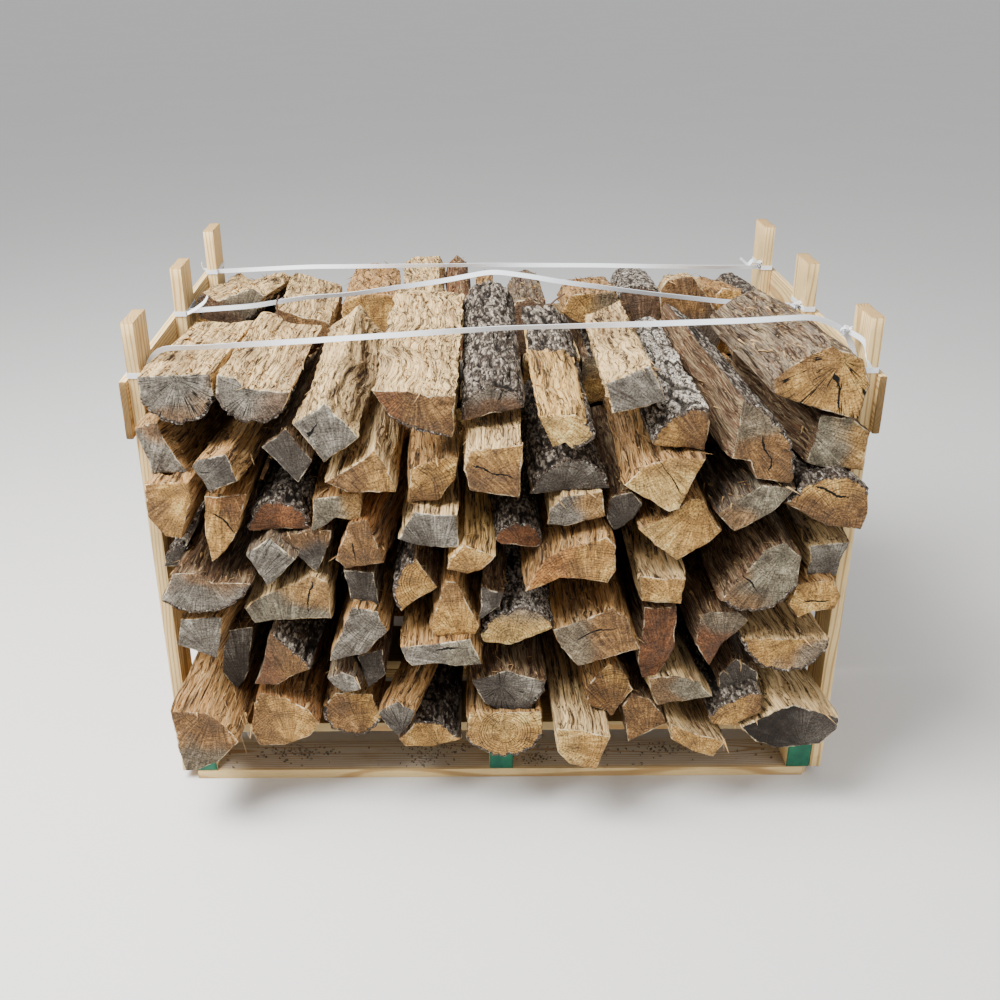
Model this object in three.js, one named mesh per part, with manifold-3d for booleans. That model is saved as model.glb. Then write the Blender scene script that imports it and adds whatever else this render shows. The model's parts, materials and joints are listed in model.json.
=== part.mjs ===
// A small pallet crate of split firewood, held by three straps.
// Millimetres: +X is right, +Y runs from the front of the crate to its back, +Z is up.
import * as THREE from "three";
import { mergeVertices } from "three/addons/utils/BufferGeometryUtils.js";
import Module from "manifold-3d";

const wasm = await Module();
wasm.setup();

// Driving sizes of the crate.
const CRATE_WIDTH = 1220;
const CRATE_DEPTH = 773;
const BOARD_THICK = 19;
const BOTTOM_BOARD_DEEP = 89;
const BOTTOM_BOARD_SHORT = 6;
const BOARD_CHAMFER = 12;
const STRINGER_WIDE = 44;
const STRINGER_TALL = 89;
const DECK_BOARD_DEEP = 140;
const DECK_BOARDS = 4;
const POST_THICK = 22;
const POST_DEEP = 84;
const POST_TOP = 902;
const POST_LEAN = -8;
const POST_PLACES = { front: 0, middle: 362, back: CRATE_DEPTH - POST_DEEP };
const PLANK_THICK = 12;
const PLANK_TALL = 100;
const PLANK_BOTTOM = 707;
const PLANK_OVERHANG = 12;
const STRAP_THICK = 1;
const STRAP_WIDE = 13;
const GAP = 0.4;
const MERGE_DISTANCE = 1e-3;
const ROUGHNESS = { wood: 0.85, strap: 0.4 };

const DECK_TOP = 2 * BOARD_THICK + STRINGER_TALL;
const INNER_HALF = CRATE_WIDTH / 2 - POST_THICK;

// The ends of the splits are drawn as seen on one upright plane in front of the posts.
// A split that stands out more or less than that has its outline slid along the line of sight.
const DRAWN_PLANE = -90;
const EYE = new THREE.Vector3(-87, -1798, 1424);

// Splits of the front row. Each is sawn to length and runs from front to back.
const SPLIT_LENGTH = 408;
const FAR_END_SCALE = 0.96;
const ARC_SEGMENTS = 3;

// Back row: splits packed side by side, of the same length.
const BACK_ROW_START = 350;
const BACK_ROW_STAGGER = 34;

const COLOURS = {
  pine: 0xe4d2a4,
  grey: 0x77706a,
  tan: 0xb28c5c,
  brown: 0x7f5f40,
  dark: 0x4a4440,
  mixed: 0x8c6d4c,
  strap: 0xeef2f7,
};

// end: the corners of the sawn end as [x, z], clockwise as seen from the front.
// A third number bows the side that starts at that corner outwards by so much, as bark does.
// out: how far the end stands in front of the posts. far: how the far end drifts, as [x, z].
const NAMED_SPLITS = [
  { name: "half_round_01", wood: "grey", out: 75, end: [[-577, 844], [-460, 847, 82]], far: [6, -30] },
  { name: "half_round_02", wood: "grey", out: 85, far: [10, -12],
    end: [[-452, 846], [-425, 842], [-412, 826], [-340, 816, 68]] },
  { name: "square_split_03", wood: "grey", out: 112, far: [28, 42],
    end: [[-288, 801], [-236, 738], [-295, 694], [-342, 763]] },
  { name: "quarter_split_04", wood: "brown", out: 95, far: [22, 56],
    end: [[-218, 820], [-82, 808], [-88, 738, 8], [-190, 776]] },
  { name: "round_log_05", wood: "brown", out: 60, far: [4, 66],
    end: [[25, 786], [-72, 765, 50]] },
  { name: "split_log_06", wood: "tan", out: 100, far: [-6, 62],
    end: [[44, 774], [105, 777], [124, 762], [140, 738], [102, 715], [90, 727], [72, 721]] },
  { name: "square_split_07", wood: "grey", out: 95, far: [8, -6],
    end: [[148, 826], [218, 856], [246, 796], [160, 774]] },
  { name: "wedge_split_08", wood: "brown", out: 80, far: [-18, 30],
    end: [[228, 722, 22], [314, 784], [318, 760], [312, 713]] },
  { name: "half_round_09", wood: "tan", out: 100, far: [-60, 44],
    end: [[364, 800, 24], [462, 668], [458, 652], [400, 660], [386, 690], [355, 697]] },
  { name: "large_split_10", wood: "brown", out: 85, far: [-20, -14],
    end: [[408, 832], [452, 866], [494, 886], [545, 862], [562, 820], [550, 762], [500, 774],
      [410, 806]] },
  { name: "split_11", wood: "grey", out: 60, far: [58, 6],
    end: [[-592, 757], [-553, 768], [-548, 745], [-510, 678], [-573, 676], [-585, 730]] },
  { name: "square_split_12", wood: "grey", out: 112, far: [52, 4],
    end: [[-509, 692], [-500, 702], [-450, 713], [-433, 664], [-482, 644]] },
  { name: "wedge_split_14", wood: "tan", out: 110, far: [10, 6],
    end: [[-297, 661], [-213, 717, 5], [-180, 642], [-262, 643]] },
  { name: "split_15", wood: "tan", out: 85, far: [-8, 8],
    end: [[-162, 625], [-160, 684, 6], [-77, 705], [-82, 664], [-112, 628]] },
  { name: "square_split_16", wood: "tan", out: 140, far: [0, 8],
    end: [[-60, 716], [27, 728], [20, 630], [-64, 643], [-73, 680]] },
  { name: "half_round_17", wood: "dark", out: 75, far: [-6, 6], end: [[165, 648], [36, 638, 58]] },
  { name: "wedge_split_18", wood: "tan", out: 105, far: [12, 4],
    end: [[186, 653], [216, 687, 8], [317, 698], [297, 650], [282, 605], [264, 601]] },
  { name: "split_19", wood: "brown", out: 65, far: [-48, 4],
    end: [[476, 690], [490, 772], [540, 765], [573, 742], [569, 675], [500, 683]] },
  { name: "quarter_split_20", wood: "brown", out: 100, far: [-22, 16],
    end: [[341, 601], [414, 653], [467, 645], [436, 604], [373, 566]] },
  { name: "split_22", wood: "brown", out: 100, far: [26, 4],
    end: [[-590, 664], [-512, 665], [-514, 632], [-537, 561], [-562, 566], [-588, 602]] },
  { name: "wedge_split_23", wood: "brown", out: 90, far: [10, 12],
    end: [[-492, 640], [-422, 642], [-440, 583, 8], [-490, 519], [-497, 560]] },
  { name: "half_round_24", wood: "brown", out: 70, far: [8, 10], end: [[-322, 577], [-426, 574, 56]] },
  { name: "split_26", wood: "grey", out: 112, far: [4, 8],
    end: [[-152, 608], [-81, 602], [-79, 542], [-146, 543], [-181, 558]] },
  { name: "round_log_28", wood: "brown", out: 95, far: [-44, 4],
    end: [[450, 619], [480, 650, 24], [586, 636], [590, 600], [582, 568], [522, 577]] },
  { name: "split_29", wood: "tan", out: 90, far: [4, 14],
    end: [[214, 573], [262, 597], [296, 630], [318, 628], [355, 570], [325, 540], [283, 514],
      [245, 540]] },
  { name: "square_split_30", wood: "grey", out: 100, far: [16, 6],
    end: [[-436, 533], [-392, 566], [-350, 522], [-375, 490], [-403, 468]] },
  { name: "horn_split_36", wood: "tan", out: 126, far: [4, 6],
    end: [[28, 455], [60, 518], [97, 541], [165, 560], [182, 545], [185, 495], [172, 470], [133, 480],
      [86, 481], [56, 466]] },
  { name: "half_round_38", wood: "grey", out: 100, far: [-8, 12],
    end: [[362, 438], [428, 536], [459, 547], [491, 520], [491, 466, 34]] },
  { name: "half_round_40", wood: "grey", out: 100, far: [24, 8],
    end: [[-585, 441], [-560, 496], [-512, 500], [-490, 480], [-426, 478, 38]] },
  { name: "wedge_split_42", wood: "tan", out: 85, far: [10, 6],
    end: [[-150, 525], [-116, 467], [-178, 419, 24]] },
  { name: "slab_split_44", wood: "tan", out: 90, far: [6, 8],
    end: [[-448, 430], [-418, 450], [-326, 492], [-300, 480], [-296, 406], [-400, 404], [-430, 398]] },
  { name: "half_round_46", wood: "grey", out: 85, far: [-4, 22],
    end: [[84, 395], [82, 386], [10, 351], [-38, 357], [-43, 372, 42]] },
  { name: "quarter_split_47", wood: "brown", out: 115, far: [4, 8],
    end: [[82, 382], [130, 402], [181, 428], [205, 405], [234, 342], [126, 308], [95, 345]] },
  { name: "half_round_55", wood: "tan", out: 90, far: [-14, 6], end: [[408, 362], [560, 361, 68]] },
  { name: "split_56", wood: "grey", out: 90, far: [-2, 26],
    end: [[-60, 280], [-30, 292], [5, 300], [72, 278], [68, 250], [40, 210], [-3, 209], [-38, 230]] },
  { name: "large_split_61", wood: "brown", out: 142, far: [30, 22],
    end: [[-595, 220], [-530, 217], [-500, 188], [-476, 152], [-520, 107], [-562, 86], [-579, 86],
      [-590, 150]] },
  { name: "round_log_66", wood: "tan", out: 105, far: [2, 10],
    end: [[-64, 215], [66, 215], [70, 165, 46], [-68, 160]] },
  { name: "split_67", wood: "tan", out: 152, far: [-2, 10],
    end: [[90, 180], [150, 172], [194, 160], [170, 82], [120, 98], [97, 125]] },
];

// The smaller splits of the front row, drawn in the same way.
const SMALL_SPLITS = [
  { out: 80, far: [20, 6], end: [[-394, 724], [-351, 757], [-311, 700], [-338, 661]] },
  { out: 86, far: [-4, 6],
    end: [[-316, 634], [-237, 643], [-238, 590], [-275, 600], [-300, 583], [-323, 571]] },
  { out: 95, far: [6, 4],
    end: [[66, 612], [90, 634], [155, 643], [161, 597], [130, 586], [98, 578], [63, 581]] },
  { out: 70, far: [0, 0], end: [[164, 635], [200, 642], [222, 620], [210, 590], [173, 566], [163, 595]] },
  { out: 79, far: [20, 4],
    end: [[-372, 562], [-335, 580], [-288, 575], [-300, 530], [-318, 495], [-345, 525]] },
  { out: 96, far: [60, 4], end: [[-262, 590], [-228, 597], [-203, 512], [-270, 503], [-285, 520]] },
  { out: 118, far: [14, 30], end: [[-98, 522], [-72, 551], [-17, 524], [-38, 500], [-65, 491], [-101, 500]] },
  { out: 71, far: [0, 30], end: [[60, 541], [-12, 545], [-22, 556, 40]] },
  { out: 60, far: [0, 10], end: [[64, 578], [128, 575], [132, 552], [120, 546], [66, 542]] },
  { out: 105, far: [0, 20], end: [[221, 487], [303, 480], [297, 430], [228, 437]] },
  { out: 61, far: [-10, 24], end: [[499, 541], [568, 548], [558, 510], [553, 482], [496, 482], [501, 510]] },
  { out: 75, far: [14, 0], end: [[-273, 501], [-222, 498], [-215, 434], [-264, 437]] },
  { out: 100, far: [10, 6],
    end: [[-103, 482], [-84, 480], [-46, 390], [-52, 374], [-80, 368], [-120, 371], [-132, 385]] },
  { out: 94, far: [24, 34], end: [[-43, 471], [-2, 456], [-8, 425], [-47, 400]] },
  { out: 81, far: [0, 4],
    end: [[233, 428], [291, 426], [293, 342], [280, 313], [262, 287], [240, 284], [229, 318]] },
  { out: 84, far: [-24, 10],
    end: [[330, 410], [349, 418], [395, 416], [414, 399], [395, 372], [371, 345], [355, 305], [327, 350]] },
  { out: 87, far: [-6, 4],
    end: [[489, 468], [551, 478], [567, 442], [560, 418], [520, 414], [496, 402], [477, 430]] },
  { out: 90, far: [70, 6], end: [[-556, 409], [-482, 411], [-499, 327], [-535, 345], [-565, 357]] },
  { out: 91, far: [30, 8], end: [[-404, 386], [-333, 308], [-398, 274], [-440, 275], [-425, 300]] },
  { out: 101, far: [24, 6],
    end: [[-262, 432], [-215, 425], [-203, 380], [-240, 338], [-306, 320], [-300, 345]] },
  { out: 115, far: [4, 20],
    end: [[-183, 350], [-112, 358], [-60, 366], [-40, 312], [-85, 309], [-138, 318], [-156, 302],
      [-173, 325]] },
  { out: 97, far: [10, 4],
    end: [[-313, 288], [-285, 302], [-262, 290], [-250, 262], [-282, 251], [-303, 268]] },
  { out: 82, far: [-40, 16],
    end: [[160, 295], [180, 315], [205, 300], [227, 258], [205, 228], [193, 205], [173, 200], [145, 232],
      [140, 260]] },
  { out: 88, far: [-30, 10], end: [[250, 283], [300, 291], [340, 275], [367, 243], [270, 222], [257, 250]] },
  { out: 98, far: [-24, 24],
    end: [[362, 197], [385, 228], [410, 240], [452, 258], [461, 209], [406, 181], [372, 185]] },
  { out: 89, far: [20, 30],
    end: [[-443, 230], [-430, 256], [-385, 247], [-345, 222], [-328, 190], [-345, 165], [-395, 142],
      [-440, 142], [-455, 172]] },
  { out: 58, far: [6, 16], end: [[-320, 232], [-298, 258], [-232, 255], [-218, 205, 56]] },
  { out: 110, far: [110, 50],
    end: [[-226, 213], [-210, 228], [-188, 240], [-157, 216], [-165, 190], [-190, 164], [-206, 178]] },
  { out: 77, far: [10, 4],
    end: [[-190, 155], [-160, 193], [-112, 192], [-95, 175], [-74, 155], [-127, 138], [-178, 140]] },
  { out: 83, far: [-6, 8], end: [[207, 225], [222, 252], [255, 238], [280, 210], [289, 187], [222, 145]] },
  { out: 109, far: [-50, 16], end: [[297, 186], [310, 176], [399, 146], [378, 114], [340, 122], [296, 152]] },
  { out: 102, far: [-70, 30],
    end: [[421, 176], [511, 228], [568, 204], [596, 196], [597, 172], [569, 140], [489, 130], [450, 144]] },
  { out: 20, far: [20, 10], end: [[-575, 508], [-555, 545], [-530, 560], [-515, 530], [-514, 508]] },
  { out: 40, far: [30, 10], end: [[-482, 385], [-432, 392], [-446, 300], [-470, 262], [-494, 300]] },
  { out: 59, far: [10, 10], end: [[-258, 333], [-212, 345], [-205, 292], [-240, 264]] },
  { out: 62, far: [-20, 24], end: [[372, 292], [400, 322], [440, 296], [447, 268], [400, 250], [375, 262]] },
];

function lineOfSight([x, z], front) {
  const share = (front - EYE.y) / (DRAWN_PLANE - EYE.y);
  return [EYE.x + (x - EYE.x) * share, EYE.z + (z - EYE.z) * share];
}

// Draws an end as a closed shape: straight sides, and a circular arc where a side is bowed.
function endShape(end, front) {
  const listed = anticlockwise(end);
  const corners = listed.map((corner) => lineOfSight(corner, front));
  const shape = new THREE.Shape();
  shape.moveTo(...corners[0]);
  for (let i = 0; i < corners.length; i += 1) {
    const from = new THREE.Vector2(...corners[i]);
    const to = new THREE.Vector2(...corners[(i + 1) % corners.length]);
    const bow = listed[i][2];
    if (bow) {
      const chord = from.distanceTo(to);
      const radius = (chord * chord) / (8 * bow) + bow / 2;
      const outward = new THREE.Vector2(to.y - from.y, from.x - to.x).divideScalar(chord);
      const centre = from.clone().add(to).divideScalar(2).addScaledVector(outward, bow - radius);
      const start = Math.atan2(from.y - centre.y, from.x - centre.x);
      const stop = Math.atan2(to.y - centre.y, to.x - centre.x);
      shape.absarc(centre.x, centre.y, radius, start, stop, false);
    } else if (i < corners.length - 1) {
      shape.lineTo(to.x, to.y);
    }
  }
  return shape;
}

// Reverses the order of the corners, and keeps each bow on its own side.
function anticlockwise(end) {
  const count = end.length;
  return end.map((_, i) => {
    const [x, z] = end[count - 1 - i];
    const bow = end[(2 * count - 2 - i) % count][2];
    return [x, z, bow];
  });
}

// Moves every point of an outline outwards by the same distance, and a sharp corner no further
// than this share of a turned direction allows.
const SHARPEST_TURN = 0.3;

function grown(points, distance) {
  const count = points.length;
  return points.map((point, i) => {
    const before = points[(i + count - 1) % count];
    const after = points[(i + 1) % count];
    const first = new THREE.Vector2(point.y - before.y, before.x - point.x).normalize();
    const second = new THREE.Vector2(after.y - point.y, point.x - after.x).normalize();
    const corner = Math.max(1 + first.dot(second), SHARPEST_TURN);
    return point.clone().addScaledVector(first.add(second), distance / corner);
  });
}

function solidOf(geometry) {
  const bare = new THREE.BufferGeometry();
  bare.setAttribute("position", geometry.getAttribute("position"));
  bare.setIndex(geometry.getIndex());
  const merged = mergeVertices(bare, MERGE_DISTANCE);
  return new wasm.Manifold(
    new wasm.Mesh({
      numProp: 3,
      vertProperties: new Float32Array(merged.attributes.position.array),
      triVerts: new Uint32Array(merged.index.array),
    }),
  );
}

function geometryOf(solid) {
  const mesh = solid.getMesh();
  const geometry = new THREE.BufferGeometry();
  geometry.setAttribute("position", new THREE.BufferAttribute(mesh.vertProperties, 3));
  geometry.setIndex(new THREE.BufferAttribute(mesh.triVerts, 1));
  geometry.computeVertexNormals();
  return geometry;
}

function largestBody(solid) {
  const bodies = solid.decompose();
  return bodies.sort((a, b) => b.volume() - a.volume())[0];
}

// A split log: its outline carried from the front to the back, tapering and drifting on the way.
function logSolid(outline, front, length, { far = [0, 0], scale = 1, grow = 0 } = {}) {
  const points = grow ? grown(outline, grow) : outline;
  const whole = length + 2 * grow;
  const geometry = new THREE.ExtrudeGeometry(new THREE.Shape(points), {
    depth: whole,
    steps: 1,
    bevelEnabled: false,
  });
  geometry.rotateX(Math.PI / 2);
  geometry.translate(0, front - grow + whole, 0);
  const middle = new THREE.Box2().setFromPoints(outline).getCenter(new THREE.Vector2());
  const place = geometry.getAttribute("position");
  for (let i = 0; i < place.count; i += 1) {
    const along = (place.getY(i) - front) / length;
    const size = 1 + (scale - 1) * along;
    place.setX(i, middle.x + (place.getX(i) - middle.x) * size + far[0] * along);
    place.setZ(i, middle.y + (place.getZ(i) - middle.y) * size + far[1] * along);
  }
  return solidOf(geometry);
}

function outlineOf(split) {
  return endShape(split.end, -split.out).extractPoints(ARC_SEGMENTS).shape;
}

// The top splits of the back row. Each end is drawn where it stands, at the split's own front.
const TOP_OF_BACK_ROW = [
  { front: 400, far: [4, -66],
    end: [[-580, 815], [-571, 849], [-550, 832], [-528, 836], [-470, 853], [-448, 838], [-469, 802],
      [-520, 770], [-572, 790]] },
  { front: 391, far: [0, -30], end: [[-470, 706], [-466, 760], [-440, 798], [-422, 790], [-415, 706]] },
  { front: 395, far: [-12, -30],
    end: [[-430, 816], [-324, 785], [-326, 750], [-364, 738], [-399, 706], [-420, 712]] },
  { front: 410, far: [-12, -38],
    end: [[-306, 800], [-294, 828], [-267, 837], [-212, 838], [-191, 822], [-197, 770], [-230, 706],
      [-285, 706]] },
  { front: 416, far: [-4, 12],
    end: [[-189, 790], [-170, 803], [-112, 804], [-99, 780], [-105, 706], [-180, 706]] },
  { front: 430, far: [0, 14], end: [[-102, 706], [-100, 780], [-76, 801], [-50, 780], [-46, 706]] },
  { front: 430, far: [12, -30], end: [[-48, 706], [-44, 795], [-20, 808], [-6, 800], [-8, 706]] },
  { front: 412, far: [16, -44],
    end: [[20, 706], [23, 800], [37, 822], [62, 828], [94, 815], [102, 780], [100, 706]] },
  { front: 404, far: [30, -74],
    end: [[121, 800], [135, 829], [150, 838], [226, 841], [240, 815], [213, 792], [186, 768],
      [150, 780]] },
  { front: 430, far: [40, -62],
    end: [[234, 706], [236, 820], [255, 845], [300, 842], [322, 828], [325, 706]] },
  { front: 404, far: [70, -92],
    end: [[330, 706], [311, 836], [322, 862], [350, 866], [374, 868], [412, 822], [447, 775],
      [430, 706]] },
  { front: 420, far: [38, -84],
    end: [[430, 706], [424, 830], [436, 844], [471, 840], [512, 800], [540, 706]] },
  { front: 410, far: [0, -40], end: [[513, 706], [513, 796], [530, 812], [560, 810], [572, 706]] },
];

// Below them the back row is packed: each split is the part of the row that is nearest to its site.
const BACK_ROW_SHELF = 720;
const BACK_COLUMNS = 10;
const BACK_LAYERS = 6;
const BACK_ROW_SIDE_ROOM = 8;
const LAYER_SHIFT = 0.25;
const SITE_SPREAD = { across: 0.55, up: 0.5 };
const BACK_ROW_SEED = 7;

// A fixed run of numbers between 0 and 1, so that the stack is the same each time it is built.
function fixedNumbers(seed) {
  let state = seed;
  return () => {
    state = (state * 16807) % 2147483647;
    return state / 2147483647;
  };
}

// Keeps the part of a convex outline that is nearer to one site than to the other.
function nearerPart(points, site, other) {
  const middle = site.clone().add(other).divideScalar(2);
  const away = other.clone().sub(site);
  const side = (point) => point.clone().sub(middle).dot(away);
  const kept = [];
  for (let i = 0; i < points.length; i += 1) {
    const here = points[i];
    const next = points[(i + 1) % points.length];
    const a = side(here);
    const b = side(next);
    if (a <= 0) kept.push(here);
    if (a * b < 0) kept.push(here.clone().lerp(next, a / (a - b)));
  }
  return kept;
}

function backRowSites(random) {
  const half = INNER_HALF - BACK_ROW_SIDE_ROOM;
  const wide = (2 * half) / BACK_COLUMNS;
  const tall = (BACK_ROW_SHELF - DECK_TOP) / BACK_LAYERS;
  const sites = [];
  for (let layer = 0; layer < BACK_LAYERS; layer += 1) {
    const shift = layer % 2 ? LAYER_SHIFT : -LAYER_SHIFT;
    for (let column = 0; column < BACK_COLUMNS; column += 1) {
      const across = column + 0.5 + shift + SITE_SPREAD.across * (random() - 0.5);
      const up = layer + 0.5 + SITE_SPREAD.up * (random() - 0.5);
      sites.push(new THREE.Vector2(-half + across * wide, DECK_TOP + up * tall));
    }
  }
  return sites;
}

function packedSplits(random) {
  const half = INNER_HALF - BACK_ROW_SIDE_ROOM;
  const floor = DECK_TOP + GAP;
  const box = [[-half, floor], [half, floor], [half, BACK_ROW_SHELF], [-half, BACK_ROW_SHELF]];
  const sites = backRowSites(random);
  return sites.map((site) => {
    const others = sites.filter((other) => other !== site);
    const start = box.map(([x, z]) => new THREE.Vector2(x, z));
    const outline = others.reduce((points, other) => nearerPart(points, site, other), start);
    const front = BACK_ROW_START + BACK_ROW_STAGGER * random();
    return { outline, front };
  });
}

function topSplits() {
  return TOP_OF_BACK_ROW.map(({ end, front, far }) => {
    const outline = anticlockwise(end).map(([x, z]) => new THREE.Vector2(x, z));
    return { outline, front, far };
  });
}

function boxAt(x, y, z, wide, deep, tall) {
  const geometry = new THREE.BoxGeometry(wide, deep, tall);
  geometry.translate(x + wide / 2, y + deep / 2, z + tall / 2);
  return geometry;
}

const group = new THREE.Group();

function add(name, geometry, colour, roughness = ROUGHNESS.wood) {
  const material = new THREE.MeshStandardMaterial({ color: colour, roughness, metalness: 0 });
  const mesh = new THREE.Mesh(geometry, material);
  mesh.name = name;
  group.add(mesh);
}

// Sideways lean of the posts and side planks at a height above the deck.
function leanAt(z) {
  const above = Math.max(z - DECK_TOP, 0);
  return (POST_LEAN * above) / (POST_TOP - DECK_TOP);
}

function addPallet() {
  const boardLeft = -INNER_HALF + BOTTOM_BOARD_SHORT;
  const boardRight = INNER_HALF;
  const last = CRATE_DEPTH - BOTTOM_BOARD_DEEP;
  const boards = { front: 0, middle: last / 2, back: last };
  for (const [place, y] of Object.entries(boards)) {
    const plan = new THREE.Shape();
    plan.moveTo(boardLeft, y);
    plan.lineTo(boardRight - (place === "front" ? BOARD_CHAMFER : 0), y);
    if (place === "front") plan.lineTo(boardRight, y + BOARD_CHAMFER);
    plan.lineTo(boardRight, y + BOTTOM_BOARD_DEEP);
    plan.lineTo(boardLeft, y + BOTTOM_BOARD_DEEP);
    const geometry = new THREE.ExtrudeGeometry(plan, { depth: BOARD_THICK, bevelEnabled: false });
    add("bottom_board_" + place, geometry, COLOURS.pine);
  }
  const tall = STRINGER_TALL - 2 * GAP;
  const stringers = { left: -INNER_HALF, middle: -STRINGER_WIDE / 2, right: INNER_HALF - STRINGER_WIDE };
  for (const [place, x] of Object.entries(stringers)) {
    const stringer = boxAt(x, 0, BOARD_THICK + GAP, STRINGER_WIDE, CRATE_DEPTH, tall);
    add("stringer_" + place, stringer, COLOURS.pine);
  }
  const pitch = (CRATE_DEPTH - DECK_BOARD_DEEP) / (DECK_BOARDS - 1);
  for (let i = 0; i < DECK_BOARDS; i += 1) {
    const under = DECK_TOP - BOARD_THICK;
    const board = boxAt(-INNER_HALF, i * pitch, under, 2 * INNER_HALF, DECK_BOARD_DEEP, BOARD_THICK);
    add("deck_board_" + (i + 1), board, COLOURS.pine);
  }
}

// A post stands on the outer face of a stringer, and leans a little from the deck up.
// Room makes it that much thicker towards its neighbours.
function postGeometry(side, y, room = 0) {
  const inner = side * (INNER_HALF + GAP - room);
  const outer = side * (CRATE_WIDTH / 2);
  const profile = new THREE.Shape();
  profile.moveTo(inner, BOARD_THICK);
  profile.lineTo(outer, BOARD_THICK);
  profile.lineTo(outer, DECK_TOP);
  profile.lineTo(outer + leanAt(POST_TOP), POST_TOP);
  profile.lineTo(inner + leanAt(POST_TOP), POST_TOP);
  profile.lineTo(inner, DECK_TOP);
  const geometry = new THREE.ExtrudeGeometry(profile, { depth: POST_DEEP + 2 * room, bevelEnabled: false });
  geometry.rotateX(Math.PI / 2);
  geometry.translate(0, y + POST_DEEP + room, 0);
  return geometry;
}

function plankGeometry(side) {
  const low = leanAt(PLANK_BOTTOM);
  const high = leanAt(PLANK_BOTTOM + PLANK_TALL);
  const inner = side * (CRATE_WIDTH / 2 + GAP);
  const outer = side * (CRATE_WIDTH / 2 + GAP + PLANK_THICK);
  const profile = new THREE.Shape();
  profile.moveTo(inner + low, PLANK_BOTTOM);
  profile.lineTo(outer + low, PLANK_BOTTOM);
  profile.lineTo(outer + high, PLANK_BOTTOM + PLANK_TALL);
  profile.lineTo(inner + high, PLANK_BOTTOM + PLANK_TALL);
  const deep = CRATE_DEPTH + 2 * PLANK_OVERHANG;
  const geometry = new THREE.ExtrudeGeometry(profile, { depth: deep, bevelEnabled: false });
  geometry.rotateX(Math.PI / 2);
  geometry.translate(0, CRATE_DEPTH + PLANK_OVERHANG, 0);
  return geometry;
}

function addPosts() {
  for (const [sideName, side] of [["left", -1], ["right", 1]]) {
    for (const [place, y] of Object.entries(POST_PLACES)) {
      add("post_" + sideName + "_" + place, postGeometry(side, y), COLOURS.pine);
    }
    add("side_plank_" + sideName, plankGeometry(side), COLOURS.pine);
  }
}

// Straps: flat bands that stand on edge, run across the top and loop round a post at each end.
// inset: how far behind the front of its posts a band runs. run: the points it passes, as [x, z].
const STRAP_LOOP_HEIGHT = PLANK_BOTTOM + PLANK_TALL + STRAP_WIDE / 2 + GAP;
const STRAPS = [
  { name: "strap_front", post: "front", inset: 42,
    run: [[-582, 838], [-574, 847], [-500, 848], [-320, 858], [-140, 869], [0, 877], [100, 879],
      [240, 882], [390, 886], [505, 892], [560, 866]] },
  { name: "strap_middle", post: "middle", inset: 23,
    run: [[-470, 822], [-370, 838], [-279, 844], [-107, 868], [-11, 886], [60, 876], [123, 864],
      [295, 840], [428, 824]] },
  { name: "strap_back", post: "back", inset: 8,
    run: [[-400, 822], [0, 823], [233, 820], [437, 815]] },
];

function bandRing(side, y, z) {
  const inner = side * (INNER_HALF + GAP) + leanAt(z) - side * GAP;
  const outer = side * (CRATE_WIDTH / 2) + leanAt(z) + side * GAP;
  const left = Math.min(inner, outer);
  const right = Math.max(inner, outer);
  const ring = new THREE.Shape();
  const near = y - GAP;
  const rear = y + POST_DEEP + GAP;
  ring.moveTo(left - STRAP_THICK, near - STRAP_THICK);
  ring.lineTo(right + STRAP_THICK, near - STRAP_THICK);
  ring.lineTo(right + STRAP_THICK, rear + STRAP_THICK);
  ring.lineTo(left - STRAP_THICK, rear + STRAP_THICK);
  const hole = new THREE.Path();
  hole.moveTo(left, near);
  hole.lineTo(left, rear);
  hole.lineTo(right, rear);
  hole.lineTo(right, near);
  ring.holes.push(hole);
  const geometry = new THREE.ExtrudeGeometry(ring, { depth: STRAP_WIDE, bevelEnabled: false });
  geometry.translate(0, 0, z - STRAP_WIDE / 2);
  return geometry;
}

function bandRun(points, y) {
  const upper = points.map(([x, z]) => new THREE.Vector2(x, z + STRAP_WIDE / 2));
  const lower = points.map(([x, z]) => new THREE.Vector2(x, z - STRAP_WIDE / 2)).reverse();
  const band = new THREE.Shape([...upper, ...lower]);
  const geometry = new THREE.ExtrudeGeometry(band, { depth: STRAP_THICK, bevelEnabled: false });
  geometry.rotateX(Math.PI / 2);
  geometry.translate(0, y + STRAP_THICK, 0);
  return geometry;
}

function addStraps() {
  const height = STRAP_LOOP_HEIGHT;
  const reach = INNER_HALF - STRAP_THICK / 2;
  for (const { name, post, inset, run } of STRAPS) {
    const y = POST_PLACES[post];
    const ends = [[-reach + leanAt(height), height], [reach + leanAt(height), height]];
    const band = solidOf(bandRun([ends[0], ...run, ends[1]], y + inset))
      .add(solidOf(bandRing(-1, y, height)))
      .add(solidOf(bandRing(1, y, height)));
    add(name, geometryOf(band), COLOURS.strap, ROUGHNESS.strap);
  }
}

// Every split gives way to the splits that are listed before it.
function addSplits() {
  const taken = Object.values(POST_PLACES).flatMap((y) =>
    [-1, 1].map((side) => solidOf(postGeometry(side, y, GAP))));
  for (const split of NAMED_SPLITS) {
    const outline = outlineOf(split);
    const shape = { far: split.far, scale: FAR_END_SCALE };
    let solid = logSolid(outline, -split.out, SPLIT_LENGTH, shape);
    for (const other of taken) solid = solid.subtract(other);
    add(split.name, geometryOf(largestBody(solid)), COLOURS[split.wood]);
    taken.push(logSolid(outline, -split.out, SPLIT_LENGTH, { ...shape, grow: GAP }));
  }
  return taken;
}

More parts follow.
